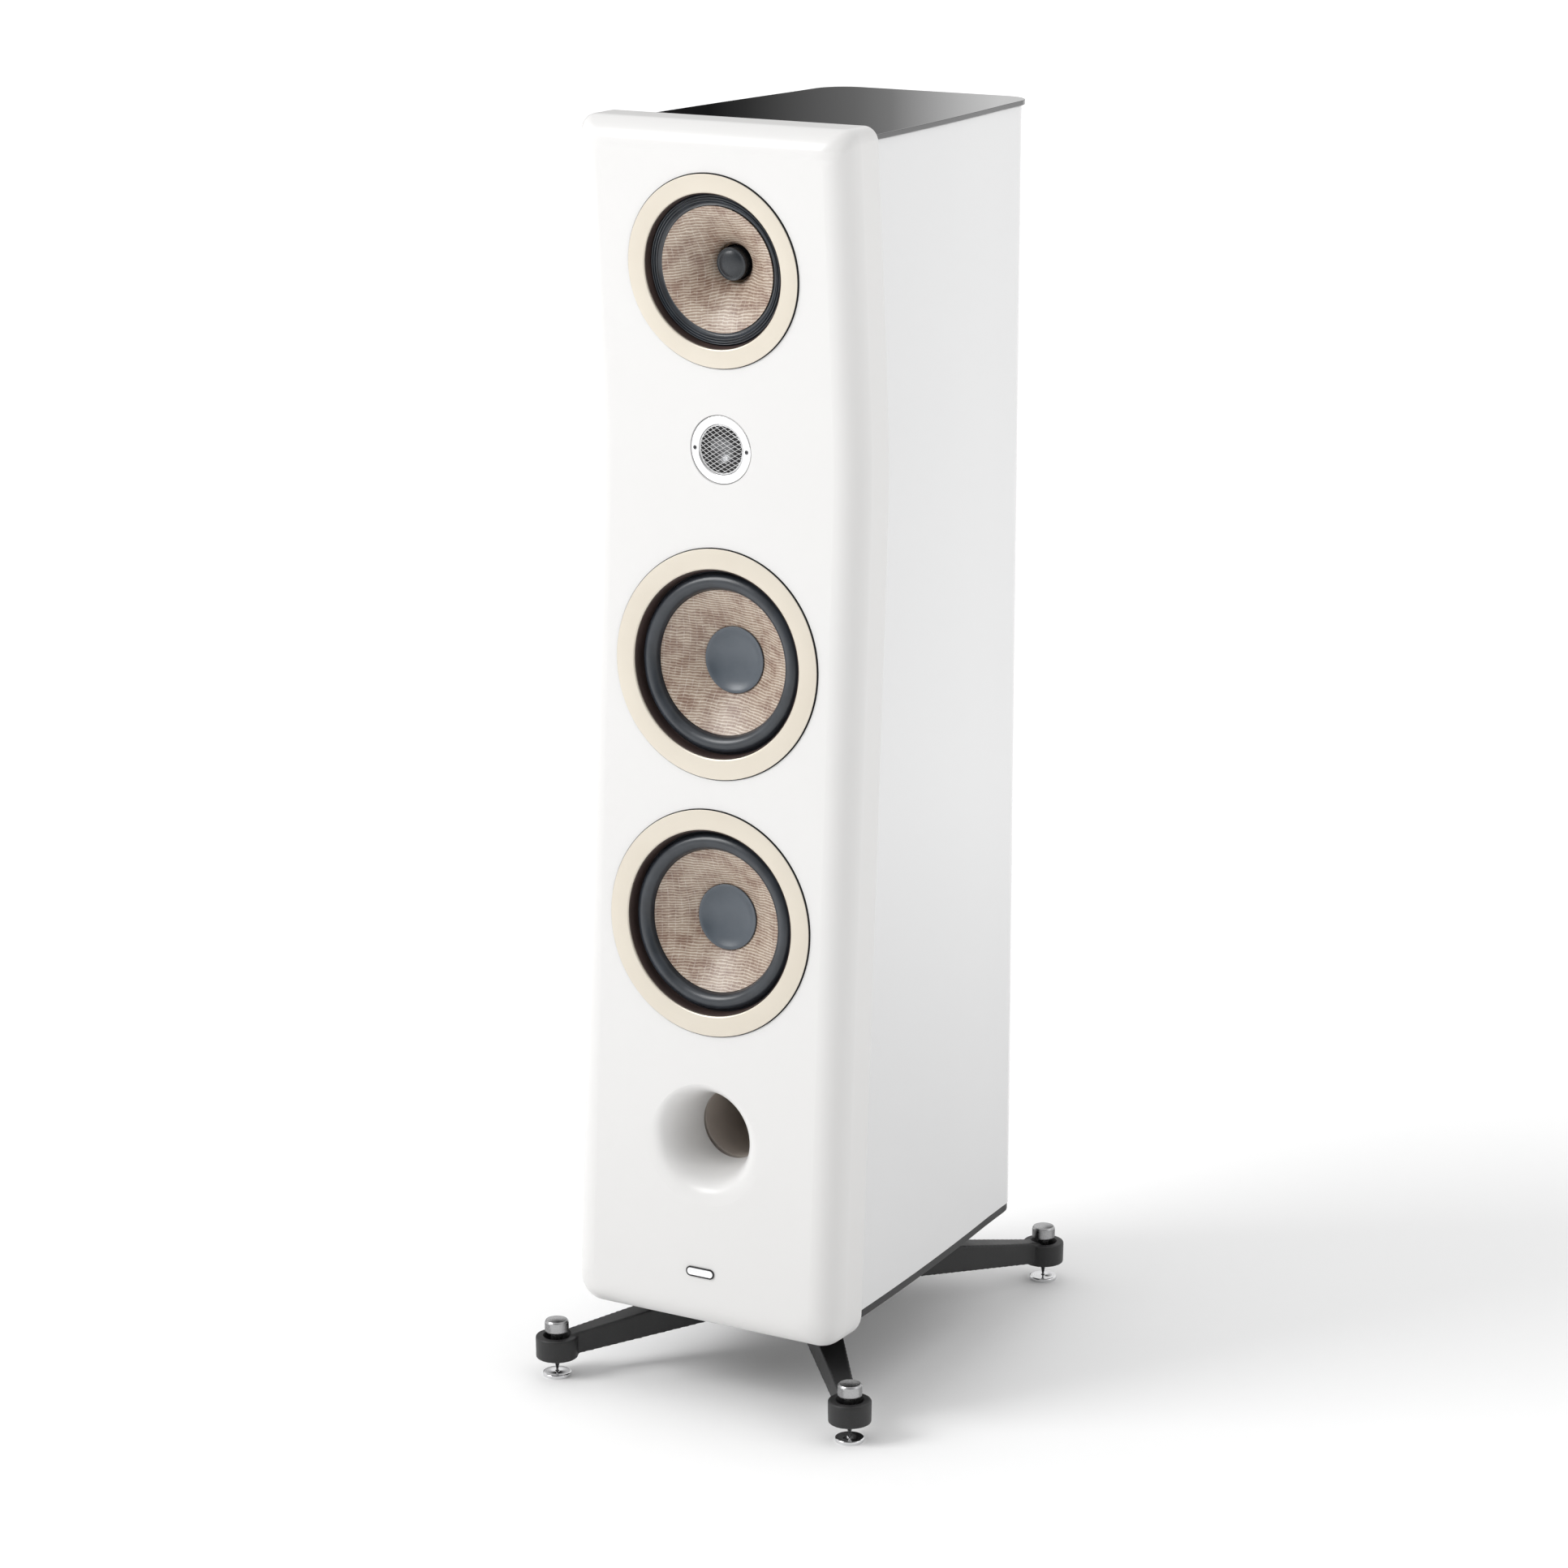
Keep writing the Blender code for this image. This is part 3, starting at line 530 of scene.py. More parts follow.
def spiderCloth():
    f = Finish("spiderCloth", (0.52, 0.40, 0.20), 0.85)
    at = f.place()
    across = f.calc("SINE", f.part(at, 0) * (2 * math.pi / 0.0012))
    along = f.calc("SINE", f.part(at, 2) * (2 * math.pi / 0.0012))
    weave = f.smoothFit(across * along, -0.6, 0.6)
    return f.feed(Base_Color=f.mix(weave, (0.34, 0.24, 0.10), (0.60, 0.47, 0.25)),
                  Roughness=f.fit(weave, 0, 1, 0.78, 0.92), Normal=f.bump(weave, 0.0002, 0.6))


def coilWinding(name, dark, light):
    f = Finish(name, light, 0.34, 0.9)
    at = f.place()
    turns = f.calc("SINE", f.part(at, 1) * (2 * math.pi / 0.0005))
    return f.feed(Base_Color=f.mix(f.fit(turns, -1, 1, 0, 1), dark, light),
                  Roughness=f.spread(f.noise(at, 300, 3), 0.26, 0.45), Normal=f.bump(turns, 0.0001, 0.6))


def circuitBoard():
    f = Finish("circuitBoard", (0.05, 0.14, 0.07), 0.42)
    at = f.place()
    high = f.part(at, 2) > (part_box("crossover_board")[0].z + 0.0024)
    cell = f.node("TexBrick", {"offset": 0.5}, {"Vector": at, "Scale": 42.0, "Mortar Size": 0.06}, 1)
    tracks = f.mix(cell, (0.035, 0.12, 0.055), (0.10, 0.24, 0.11))
    wound = f.calc("SINE", f.part(at, 2) * (2 * math.pi / 0.0011))
    coils = f.mix(f.fit(wound, -1, 1, 0, 1), (0.30, 0.12, 0.05), (0.66, 0.34, 0.16))
    return f.feed(Base_Color=f.mix(high, tracks, coils), Metallic=high * 0.7,
                  Roughness=f.spread(f.noise(at, 200, 3), 0.32, 0.5),
                  Normal=f.bump(wound * high + cell * 0.5, 0.0002, 0.6))


finishes = {
    "baffle": satinWhite(),
    "wrap": glossWhite(),
    "glass": blackGlass(),
    "ring": champagneMetal(),
    "rubber": surroundRubber("surroundRubber", (0.015, 0.019, 0.025), (0.026, 0.032, 0.041), 0.20),
    "ribbedRubber": surroundRubber("ribbedRubber", (0.019, 0.024, 0.031), (0.034, 0.042, 0.053), 0.60),
    "flaxUpper": flaxWeave("flaxWeaveUpper", 0.05, (0.013, 0.004, 0)),
    "flaxLower": flaxWeave("flaxWeaveLower", -0.04, (0.21, 0.117, 0)),
    "flaxMid": flaxWeave("flaxWeaveMid", -0.10, (0.42, 0.331, 0)),
    "cap": slateCap(),
    "plug": mouldedPlastic("phasePlug", (0.011, 0.014, 0.018), 1.4, 0.24, 2600, 0.00001),
    "basket": castBlack("castBasket"),
    "gasket": mouldedPlastic("gasketFoam", (0.034, 0.020, 0.017), 1.6, 0.62, 1800, 0.0001),
    "ringBack": mouldedPlastic("ringBacking", (0.003, 0.003, 0.004), 1.6, 0.62, 1800, 0.00003),
    "cast": castBlack(),
    "port": mouldedPlastic("portPlastic", (0.40, 0.352, 0.315), 1.08, 0.66, 1200, 0.00005),
    "terminalPlate": mouldedPlastic("terminalPlastic", (0.028, 0.028, 0.029), 1.5, 0.42),
    "redKnob": mouldedPlastic("redKnob", (0.42, 0.018, 0.016), 1.2, 0.30, 2400, 0.00002),
    "blackKnob": mouldedPlastic("blackKnob", (0.018, 0.018, 0.018), 1.5, 0.30, 2400, 0.00002),
    "brass": turnedSteel("platedBrass", (0.86, 0.66, 0.33), 0.20),
    "steel": turnedSteel("turnedSteel", (0.46, 0.46, 0.465), 0.27, 2200, 0.00003),
    "chrome": turnedSteel("chrome", (0.80, 0.80, 0.81), 0.10, 1200, 0.000004),
    "silver": turnedSteel("silverPlate", (0.92, 0.92, 0.925), 0.20, 2200, 0.000006),
    "mesh": turnedSteel("grilleWire", (0.94, 0.94, 0.945), 0.26, metallic=0.35),
    "screwHead": turnedSteel("blackenedSteel", (0.14, 0.14, 0.145), 0.26),
    "tweeterWell": mouldedPlastic("tweeterWell", (0.005, 0.005, 0.006), 1.5, 0.55, 1800, 0.00003),
    "dome": turnedSteel("berylliumDome", (0.20, 0.204, 0.21), 0.30, 1800, 0.000006),
    "board": fibreboard(),
    "ferrite": ferrite(),
    "spider": spiderCloth(),
    "winding": coilWinding("copperWinding", (0.33, 0.13, 0.05), (0.74, 0.37, 0.17)),
    # The midrange coil is very dark: partly its own dark-brown former, partly painted shade for the shadowed gap
    # round the phase plug.
    "darkWinding": coilWinding("darkFormerGapShadeWinding", (0.014, 0.009, 0.007), (0.045, 0.026, 0.018)),
    "circuit": circuitBoard(),
    "yoke": plainSteel("yokeSteel", (0.56, 0.56, 0.57), 0.34),
}
print("materials made:", len(finishes))


portShape = {"throat": 35.0, "flareEnd": 68.0, "brim": 70.0, "curve": 4.6, "depth": 60.0, "steps": 40}


def portCutter():
    # The flared mouth: its outer part follows the leaning face, its throat is level.
    throat, end = portShape["throat"], portShape["flareEnd"]
    radii = [end - (end - throat) * (k / portShape["steps"]) for k in range(portShape["steps"] + 1)]
    wide = portShape["brim"]
    flare = [(r, -portShape["depth"] * ((wide - r) / (wide - throat)) ** portShape["curve"]) for r in radii]
    bm = spunShape([(0, 25), (end + 4.0, 25), (end + 4.0, 0.7)] + flare + [(throat, -95), (0, -95)], 128)
    z = centreOf("port_tube").z
    moveTo(bm, Matrix.Translation((0, faceY(z), z)) @ Matrix.Rotation(math.pi / 2, 4, "X"))
    for v in bm.verts:
        out = (math.hypot(v.co.x, v.co.z - z) / mm - throat) / (end - throat)
        v.co.y += (faceY(v.co.z) - faceY(z)) * max(0.0, min(1.0, out))
    return finishObject("portCutter", bm, None)


def steppedCutter(name, place, ring, flange, hole):
    outline = [(0, 20), (ring + 0.9, 20), (ring + 0.9, 0.1), (ring + 0.5, -0.5), (ring + 0.5, -5.4),
               (flange + 0.5, -5.4), (flange + 0.5, -11.6), (hole, -11.6), (hole, -90), (0, -90)]
    return turnedCutter(name, outline, place, 144)


def makeBaffle():
    shape = baffleShape
    low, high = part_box("front_baffle")
    width, height, middle = high.x - low.x, high.z - low.z, (high.z + low.z) / 2
    bm = bmesh.new()
    bmesh.ops.create_grid(bm, x_segments=1, y_segments=1, size=0.5)
    bmesh.ops.scale(bm, vec=(width, height, 1), verts=bm.verts)
    bmesh.ops.rotate(bm, cent=(0, 0, 0), matrix=Matrix.Rotation(math.pi / 2, 3, "X"), verts=bm.verts)
    for corner in bm.verts[:]:
        size = shape["topCorner"] if corner.co.z > 0 else shape["bottomCorner"]
        roundCorner(bm, corner, size, shape["cornerSteps"])
    bmesh.ops.translate(bm, vec=(0, shape["edgeDepth"], middle), verts=bm.verts)
    face = bm.faces[:][0]

    def pullFace(face, inset, depth, before):
        grown = bmesh.ops.extrude_face_region(bm, geom=[face])["geom"]
        front = next(g for g in grown if isinstance(g, bmesh.types.BMFace))
        if before > 0 or inset > 0:
            bmesh.ops.delete(bm, geom=[face], context="FACES_ONLY")
        bmesh.ops.translate(bm, vec=(0, -front.verts[0].co.y + depth, -middle), verts=front.verts[:])
        narrow = (width / 2 - inset) / (width / 2 - before)
        short = (height / 2 - inset) / (height / 2 - before)
        bmesh.ops.scale(bm, vec=(narrow, 1, short), verts=front.verts[:])
        bmesh.ops.translate(bm, vec=(0, 0, middle), verts=front.verts[:])
        return front

    before = 0.0
    for k in range(shape["roundingSteps"] + 1):
        t = math.pi / 2 * k / shape["roundingSteps"]
        inset = shape["rounding"] * (1 - math.cos(t))
        face = pullFace(face, inset, shape["rounding"] * (1 - math.sin(t)), before)
        before = inset
    for z in shape["rows"]:
        sliceAt(bm, upwards, z)
    for x in shape["columns"]:
        for side in (1, -1):
            sliceAt(bm, rightwards, side * x)
    for v in bm.verts:
        v.co.y += faceY(v.co.z)
    bmesh.ops.recalc_face_normals(bm, faces=bm.faces)
    baffle = finishObject("frontBaffle", bm, finishes["baffle"], 0)
    places = {"upper": upperPlace, "lower": lowerPlace, "mid": midPlace, "tweeter": tweeterPlace}
    holes = [steppedCutter(name + "Hole", places[name], *radii) for name, radii in shape["holes"].items()]
    cutWith(baffle, holes + [portCutter()])
    shadeFrom(baffle, 32)
    evenShading(baffle)
    rideAs(baffle, "cabinet", "front_baffle")


# The number says where the node's middle lies along its own axis, in millimetres out of the baffle.
upperPlace = driverPlace("upper_woofer_trim_ring", -1.6)
lowerPlace = driverPlace("lower_woofer_trim_ring", -1.6)
midPlace = driverPlace("midrange_trim_ring", -1.6)
tweeterPlace = driverPlace("tweeter_faceplate", -2.8)
makeBaffle()
print("baffle made")


wrapShape = {
    "halfWidth": 0.1385, "taper": 0.02, "bow": 0.12,
    "wall": 0.022,
    "cornerRadius": 0.030,
    "cornerSteps": 10,
    "sideSteps": 8,
    "rows": [0.45, 0.75, 0.83, 0.87] + [0.89 + 0.012 * k for k in range(11)] + [1.05, 1.12],
    "opening": (0.100, 0.100, 0.060),   # behind the terminal plate
    "gap": 0.0004,                      # between the baffle's back and the cabinet's front edge
    "edge": 0.0006,
}


def halfWidthAt(y):
    # The cabinet narrows towards its back, more and more.
    depth = y - baffleShape["faceY"]
    return wrapShape["halfWidth"] - wrapShape["taper"] * depth - wrapShape["bow"] * depth ** 2


def planBlock(low, high, overhang, radius, steps):
    # A block in the cabinet's plan: straight front, bowed sides, rounded back corners.
    front = -0.30   # well before the baffle, so that the bow is even where the front is cut back
    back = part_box("cabinet_wrap")[1].y + overhang
    bm = blockShape((-0.15, front, low), (0.15, back, high))
    for v in bm.verts:
        y = min(v.co.y, back - radius)
        v.co.x = math.copysign(halfWidthAt(y) + overhang, v.co.x)
    atBack = [e for e in bm.edges if all(v.co.y > back - tiny for v in e.verts)]
    corners = [e for e in atBack if abs(e.verts[0].co.z - e.verts[1].co.z) > tiny]
    roundEdges(bm, corners, radius, steps)
    for k in range(1, wrapShape["sideSteps"]):
        sliceAt(bm, inwards, front + (back - radius - front) * k / wrapShape["sideSteps"])
    for v in bm.verts:
        if v.co.y < back - radius - 1e-5:
            v.co.x = math.copysign(halfWidthAt(v.co.y) + overhang, v.co.x)
    return bm


def trimFront(bm, levels):
    # Cuts the block back so that its front edge follows the back of the baffle.
    for z in levels:
        sliceAt(bm, upwards, z)
    rows = sorted({round(v.co.y, 5) for v in bm.verts})
    first, second = rows[0], rows[-1] - wrapShape["cornerRadius"]
    for v in bm.verts:
        if v.co.y < second:
            front = faceY(v.co.z) + baffleShape["edgeDepth"] + wrapShape["gap"]
            share = (second - v.co.y) / (second - first)
            v.co.y = second + (front - second) * share
            over = abs(v.co.x) - halfWidthAt(first + (second - first) * (1 - share))
            v.co.x = math.copysign(halfWidthAt(v.co.y) + over, v.co.x)


def makeWrap():
    low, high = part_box("cabinet_wrap")
    bm = planBlock(low.z, high.z, 0.0, wrapShape["cornerRadius"], wrapShape["cornerSteps"])
    trimFront(bm, wrapShape["rows"])
    steep = 0.7
    ends = [f for f in bm.faces if abs(f.normal.z) > steep or f.normal.y < -steep]
    bmesh.ops.delete(bm, geom=ends, context="FACES")
    bmesh.ops.recalc_face_normals(bm, faces=bm.faces)
    bm.normal_update()
    back = max(bm.faces, key=lambda f: f.calc_center_median().y)
    if back.normal.y < 0:
        bmesh.ops.reverse_faces(bm, faces=bm.faces[:])
    wrap = finishObject("cabinetWrap", bm, finishes["wrap"], 0)
    wall = wrap.modifiers.new("wall", "SOLIDIFY")
    wall.thickness, wall.offset = wrapShape["wall"], -1.0
    applyModifiers(wrap)
    middle = Vector((0, high.y, centreOf("terminal_plate").z))
    half = Vector(wrapShape["opening"]) / 2
    bm = blockShape(middle - half, middle + half)
    cutWith(wrap, [finishObject("terminalOpening", bm, None)])
    shadeFrom(wrap, 30)
    edges = wrap.modifiers.new("softEdges", "BEVEL")
    edges.width, edges.segments = wrapShape["edge"], 2
    edges.limit_method, edges.angle_limit = "ANGLE", math.radians(50)
    evenShading(wrap)
    rideAs(wrap, "cabinet", "cabinet_wrap")


# Two flat boards in the cabinet's plan: the glass a little wider than it, the base plate a little narrower.
slabShapes = {
    "topGlass": {
        "node": "top_glass", "finish": "glass", "slot": "black_glass",
        "overhang": 0.003, "radius": 0.033, "steps": 14, "edge": 0.0006, "edgeSteps": 2,
    },
    "basePlate": {
        "node": "base_plate", "finish": "cast", "slot": "black_cast_base",
        "overhang": -0.001, "radius": 0.030, "steps": 12, "edge": 0.0014, "edgeSteps": 3,
    },
}


def makeSlab(name, shape):
    low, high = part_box(shape["node"])
    bm = planBlock(low.z, high.z, shape["overhang"], shape["radius"], shape["steps"])
    trimFront(bm, [])
    bmesh.ops.recalc_face_normals(bm, faces=bm.faces)
    sharpEdges = [e for e in bm.edges if len(e.link_faces) == 2 and e.calc_face_angle() > 1.0]
    roundEdges(bm, sharpEdges, shape["edge"], shape["edgeSteps"])
    slab = finishObject(name, bm, finishes[shape["finish"]], 50)
    evenShading(slab)
    rideAs(slab, "cabinet", shape["node"])


makeWrap()
for name, shape in slabShapes.items():
    makeSlab(name, shape)
print("cabinet made")


def makePortTube():
    z = centreOf("port_tube").z
    place = Matrix.Translation((0, faceY(z), z)) @ Matrix.Rotation(math.pi / 2, 4, "X")
    flare = smoothPoints([(35.0, -180.0), (35.4, -196.0), (36.6, -207.0), (39.2, -213.6)], 4)
    back = smoothPoints([(41.0, -213.6), (38.9, -207.0), (38.0, -196.0), (37.8, -180.0)], 4)
    flange = [(37.8, -67.0), (44.0, -67.0, 0.6), (44.0, -61.6, 0.6)]
    outline = [(35.0, -61.6, 0.4)] + flare + [(40.2, -214.0)] + back + flange
    turnedPart("portTube", outline, place, "port", 96, "cabinet", "port_tube")


makePortTube()


def bendSurround(driver, outline, place, finish, sectors=16):
    # The ring is cut like a cake, one piece for each slice. Its outer edge is the fixed one, its inner edge the
    # one that moves with the cone.
    whole = spunShape(outline, sectors * 8)
    keepOwnPlace(whole)
    whole.normal_update()
    for s in range(sectors):
        bm = whole.copy()
        middle = 2 * math.pi * (s + 0.5) / sectors
        half = math.pi / sectors
        outside = []
        for f in bm.faces:
            c = f.calc_center_median()
            turn = (math.atan2(c.y, c.x) - middle + math.pi) % (2 * math.pi) - math.pi
            if abs(turn) > half:
                outside.append(f)
        bmesh.ops.delete(bm, geom=outside, context="FACES")
        moveTo(bm, place)
        piece = finishObject("%s_surround_%02d" % (driver, s + 1), bm, finishes[finish], 0)
        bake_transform(piece)
        if s == 0:
            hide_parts(driver + "_surround")
    whole.free()


wooferShape = {
    "ring": [(111.9, 1.95), (111.9, 2.1), (111.6, 2.4, 0.1), (93.3, 2.4, 0.2), (92.1, 1.7, 0.25),
             (91.8, -3.0), (111.0, -3.0)],
    "ringBack": [(110.9, 1.9), (112.1, 1.9, 0.1), (112.1, -5.0), (91.8, -5.0), (91.8, -3.05), (110.9, -3.05)],
    "gasket": [(91.6, -11.1), (91.6, 1.0, 0.3), (91.0, 1.2, 0.3), (90.2, -3.0, 0.5), (89.7, -9.2, 0.5),
               (89.2, -10.2, 0.2), (89.0, -11.1)],
    "rollCentre": 79.4, "rollHeight": -11.2, "rollRadius": 8.2, "rollWall": 0.9,
    "cone": [(70.6, -11.8), (61.0, -16.8), (51.0, -22.4), (41.5, -28.4), (32.5, -34.6), (26.0, -39.0),
             (20.4, -43.0)],
    "coneWall": 1.2,
    "cap": [(0.0, -37.6), (6.0, -37.45), (12.0, -37.0), (18.0, -36.2), (24.0, -34.95), (30.3, -32.75)],
}


def addRings(prefix, shape, place):
    # The dark ring that the trim stands on, and the soft ring that clamps the surround inside it.
    for name, slot in (("ringBack", "champagne_aluminium"), ("gasket", "surround_rubber")):
        piece = turnedPiece(prefix + "_" + name, shape[name], place, finishes[name], 144)
        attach(piece, "cabinet")


def coneOutline(points, wall):
    front = smoothPoints(points, 3)
    return front + [(r, z - wall) for r, z in reversed(front)]


def makeWoofer(prefix, place, weave):
    shape, moving = wooferShape, prefix + "_moving"
    turnedPart(prefix + "_trimRing", shape["ring"], place, "ring", 160,
               "cabinet", prefix + "_trim_ring")
    addRings(prefix, shape, place)
    centre, height, radius, wall = (shape["roll" + key] for key in ("Centre", "Height", "Radius", "Wall"))
    roll = [(96.8, height), (89.4, height)] + arcPoints(centre, height, radius, 6, 174, 16) + [(71.0, height)]
    roll += [(71.0, height - wall)] + arcPoints(centre, height - wall, radius - wall, 174, 6, 16)
    roll += [(89.4, height - wall), (96.8, height - wall)]
    bendSurround(prefix, roll, place, "rubber")
    turnedPart(prefix + "_cone", coneOutline(shape["cone"], shape["coneWall"]), place, weave, 128,
               moving, prefix + "_cone")
    front = smoothPoints(shape["cap"], 3)
    cap = front + [(32.2, -32.5, 0.3), (32.7, -33.1)] + [(r, z - 1.2) for r, z in reversed(front)]
    turnedPart(prefix + "_dustCap", cap, place, "cap", 96, moving, prefix + "_dust_cap")


def ribbedSheet(inner, outer, height, rise, waves, wall, steps=6):
    # A sheet pressed into rounded concentric ribs.
    count = waves * steps
    top = []
    for k in range(count + 1):
        t = k / count
        top.append((inner + (outer - inner) * t, height + rise * 0.5 * (1 - math.cos(2 * math.pi * waves * t))))
    return top, [(r, z - wall) for r, z in reversed(top)]


midShape = {
    "ring": [(92.8, 1.95), (92.8, 2.1), (92.5, 2.4, 0.1), (75.8, 2.4, 0.2), (74.8, 1.7, 0.2),
             (74.5, -3.0), (92.0, -3.0)],
    "ringBack": [(91.9, 1.9), (93.0, 1.9, 0.1), (93.0, -5.0), (74.5, -5.0), (74.5, -3.05), (91.9, -3.05)],
    "gasket": [(74.3, -7.5), (74.3, 0.9, 0.3), (73.8, 1.1, 0.3), (73.2, -2.8, 0.4), (72.9, -7.5)],
    "cone": [(60.8, -7.4), (53.0, -10.6), (46.0, -14.4), (37.5, -20.6), (29.0, -28.0), (23.6, -34.2),
             (18.8, -41.0)],
    "plugTop": [(0.0, -31.0), (5.0, -31.15), (9.5, -31.9), (13.2, -33.2)],
    "plugSide": [(14.5, -33.35, 0.2), (15.0, -32.7, 0.2), (15.8, -32.9, 0.3), (16.2, -34.6, 0.4),
                 (16.2, -36.4), (15.8, -40.0), (14.4, -64.0), (0, -64.0)],
    "ribs": {"inner": 65.2, "outer": 72.4, "height": -7.9, "rise": 2.5, "waves": 3, "wall": 0.8},
    "slope": [(61.3, -9.2), (62.4, -9.6), (63.6, -9.4), (64.8, -8.3)],
    "coneWall": 1.1,
}


def makeMidrange(place):
    shape = midShape
    turnedPart("midrange_trimRing", shape["ring"], place, "ring", 144,
               "cabinet", "midrange_trim_ring")
    addRings("midrange", shape, place)
    top, under = ribbedSheet(**shape["ribs"])
    flat = shape["ribs"]["height"]
    slope = smoothPoints(shape["slope"], 3)
    sheet = slope + top + [(77.2, flat), (77.2, flat - 0.7)] + under
    sheet += [(r, z - 0.8) for r, z in reversed(slope)]
    bendSurround("midrange", sheet, place, "ribbedRubber")
    turnedPart("midrange_cone", coneOutline(shape["cone"], shape["coneWall"]), place, "flaxMid", 120,
               "midrange_moving", "midrange_cone")
    plug = smoothPoints(shape["plugTop"], 4) + shape["plugSide"]
    turnedPart("midrange_phasePlug", plug, place, "plug", 96,
               "cabinet", "midrange_phase_plug")


tweeterShape = {
    "plate": [(33.0, -0.6), (32.4, 0.0, 0.1), (25.2, 0.0, 0.25), (24.5, -0.8), (24.4, -3.4), (18.0, -7.0),
              (18.0, -9.0), (30.4, -9.0), (30.4, -5.0), (33.0, -5.0)],
    "dome": [(0.0, -9.6), (3.5, -9.4), (7.0, -8.6), (10.2, -7.2), (13.0, -5.4), (13.9, -4.6), (14.7, -4.4),
             (16.0, -4.8), (17.0, -5.2), (17.0, -5.7), (14.6, -5.1), (13.2, -6.0), (13.2, -14.0), (12.6, -14.0),
             (12.6, -6.3), (7.0, -9.3), (0.0, -10.3)],
    "well": [(24.2, -3.3), (24.2, -2.4, 0.2), (23.2, -2.5, 0.3), (13.9, -3.3, 0.2), (13.6, -3.6), (13.9, -3.9),
             (22.6, -3.4)],
    "meshPitch": 4.2,
    "meshStretch": (1.33, 0.775, 1),
    "meshWire": 0.92,
    "meshReach": 23.7,
    "meshTop": 1.75, "meshDrop": 3.1,   # height of the mesh at its middle, and its fall to the rim
    "meshRim": [(22.9, -1.7), (23.1, -0.9, 0.2), (24.0, -1.1, 0.2), (24.2, -2.0), (23.0, -2.0)],
    "screwAt": 28.6,
    "screwSeat": [(0, 3), (2.1, 3), (2.1, -0.1), (1.85, -0.5), (1.85, -2.4), (0, -2.4)],
    "screw": [(0, -1.4), (0.85, -1.4), (0.95, -0.5, 0.1), (1.5, -0.5, 0.25), (1.7, -0.9), (1.7, -2.2), (0, -2.2)],
}


def makeGrille(place):
    # A diamond mesh: a turned square grid, stretched, its edge pulled in to a circle, domed and made into wires.
    shape = tweeterShape
    count = 2 * round(1.6 * shape["meshReach"] / shape["meshPitch"])
    bm = bmesh.new()
    bmesh.ops.create_grid(bm, x_segments=count, y_segments=count, size=count * shape["meshPitch"] * mm / 2)
    bmesh.ops.rotate(bm, cent=(0, 0, 0), matrix=Matrix.Rotation(math.pi / 4, 3, "Z"), verts=bm.verts)
    bmesh.ops.scale(bm, vec=shape["meshStretch"], verts=bm.verts)
    reach = shape["meshReach"] * mm
    outside = [f for f in bm.faces if all(v.co.length > reach for v in f.verts)]
    bmesh.ops.delete(bm, geom=outside, context="FACES")
    for v in bm.verts:
        if v.co.length > reach:
            v.co *= reach / v.co.length
        share = v.co.length / mm / 24.0
        v.co.z = (shape["meshTop"] - shape["meshDrop"] * share ** 2) * mm
    bmesh.ops.wireframe(bm, faces=bm.faces[:], thickness=shape["meshWire"] * mm, use_replace=True,
                        use_boundary=True)
    rim = spunShape(shape["meshRim"], 96)
    spare = bpy.data.meshes.new("meshRim")
    rim.to_mesh(spare)
    rim.free()
    bm.from_mesh(spare)
    bpy.data.meshes.remove(spare)
    bmesh.ops.recalc_face_normals(bm, faces=bm.faces)
    keepOwnPlace(bm)
    moveTo(bm, place)
    grille = finishObject("tweeter_grille", bm, finishes["mesh"], 40)
    rideAs(grille, "cabinet", "tweeter_grille")


def makeTweeter(place):
    shape = tweeterShape
    plate = turnedPiece("tweeter_faceplate", shape["plate"], place, finishes["silver"], 128)
    seats = []
    for side, name in ((1, "right"), (-1, "left")):
        spot = place @ Matrix.Translation((side * shape["screwAt"] * mm, 0, 0))
        seats.append(turnedCutter("screwSeat", shape["screwSeat"], spot, 32))
        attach(turnedPiece("tweeter_screw_" + name, shape["screw"], spot, finishes["screwHead"], 24), "cabinet")
    cutWith(plate, seats)
    shadeFrom(plate, 38)
    rideAs(plate, "cabinet", "tweeter_faceplate")
    well = turnedPiece("tweeter_well", shape["well"], place, finishes["tweeterWell"], 96)
    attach(well, "cabinet")
    turnedPart("tweeter_dome", shape["dome"], place, "dome", 72,
               "tweeter_moving", "tweeter_dome")
    makeGrille(place)


makeWoofer("upper_woofer", upperPlace, "flaxUpper")
makeWoofer("lower_woofer", lowerPlace, "flaxLower")
makeMidrange(midPlace)
makeTweeter(tweeterPlace)
print("drivers made")


def makeBadge():
    low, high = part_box("front_badge")
    width, height, thick = high.x - low.x, (high.z - low.z) * 0.995, 0.0012
    z = (low.z + high.z) / 2
    place = Matrix.Translation((0, faceY(z) - 0.0003, z)) @ Matrix.Rotation(math.pi / 2 - leanAt(z), 4, "X")
    bm = blockShape((-width / 2, -height / 2, 0), (width / 2, height / 2, thick))
    upright = [e for e in bm.edges if abs(e.verts[0].co.z - e.verts[1].co.z) > thick / 2]
    roundEdges(bm, upright, height * 0.4925, 12)
    front = [f for f in bm.faces if f.normal.z > 0.9]
    roundEdges(bm, list(front[0].edges), 0.0004, 3)
    front = max(bm.faces, key=lambda f: f.calc_center_median().z)
    bmesh.ops.inset_region(bm, faces=[front], thickness=0.0011, use_even_offset=True)
    front = max((f for f in bm.faces if f.normal.z > 0.99), key=lambda f: f.calc_area())
    bmesh.ops.translate(bm, vec=(0, 0, -0.00025), verts=front.verts[:])
    keepOwnPlace(bm)
    moveTo(bm, place)
    badge = finishObject("frontBadge", bm, finishes["ringBack"], 30)
    badge.data.materials.append(finishes["silver"])
    polished = max(badge.data.polygons, key=lambda f: f.area if f.normal.y < -0.9 else 0)
    polished.material_index = 1
    rideAs(badge, "cabinet", "front_badge")


makeBadge()


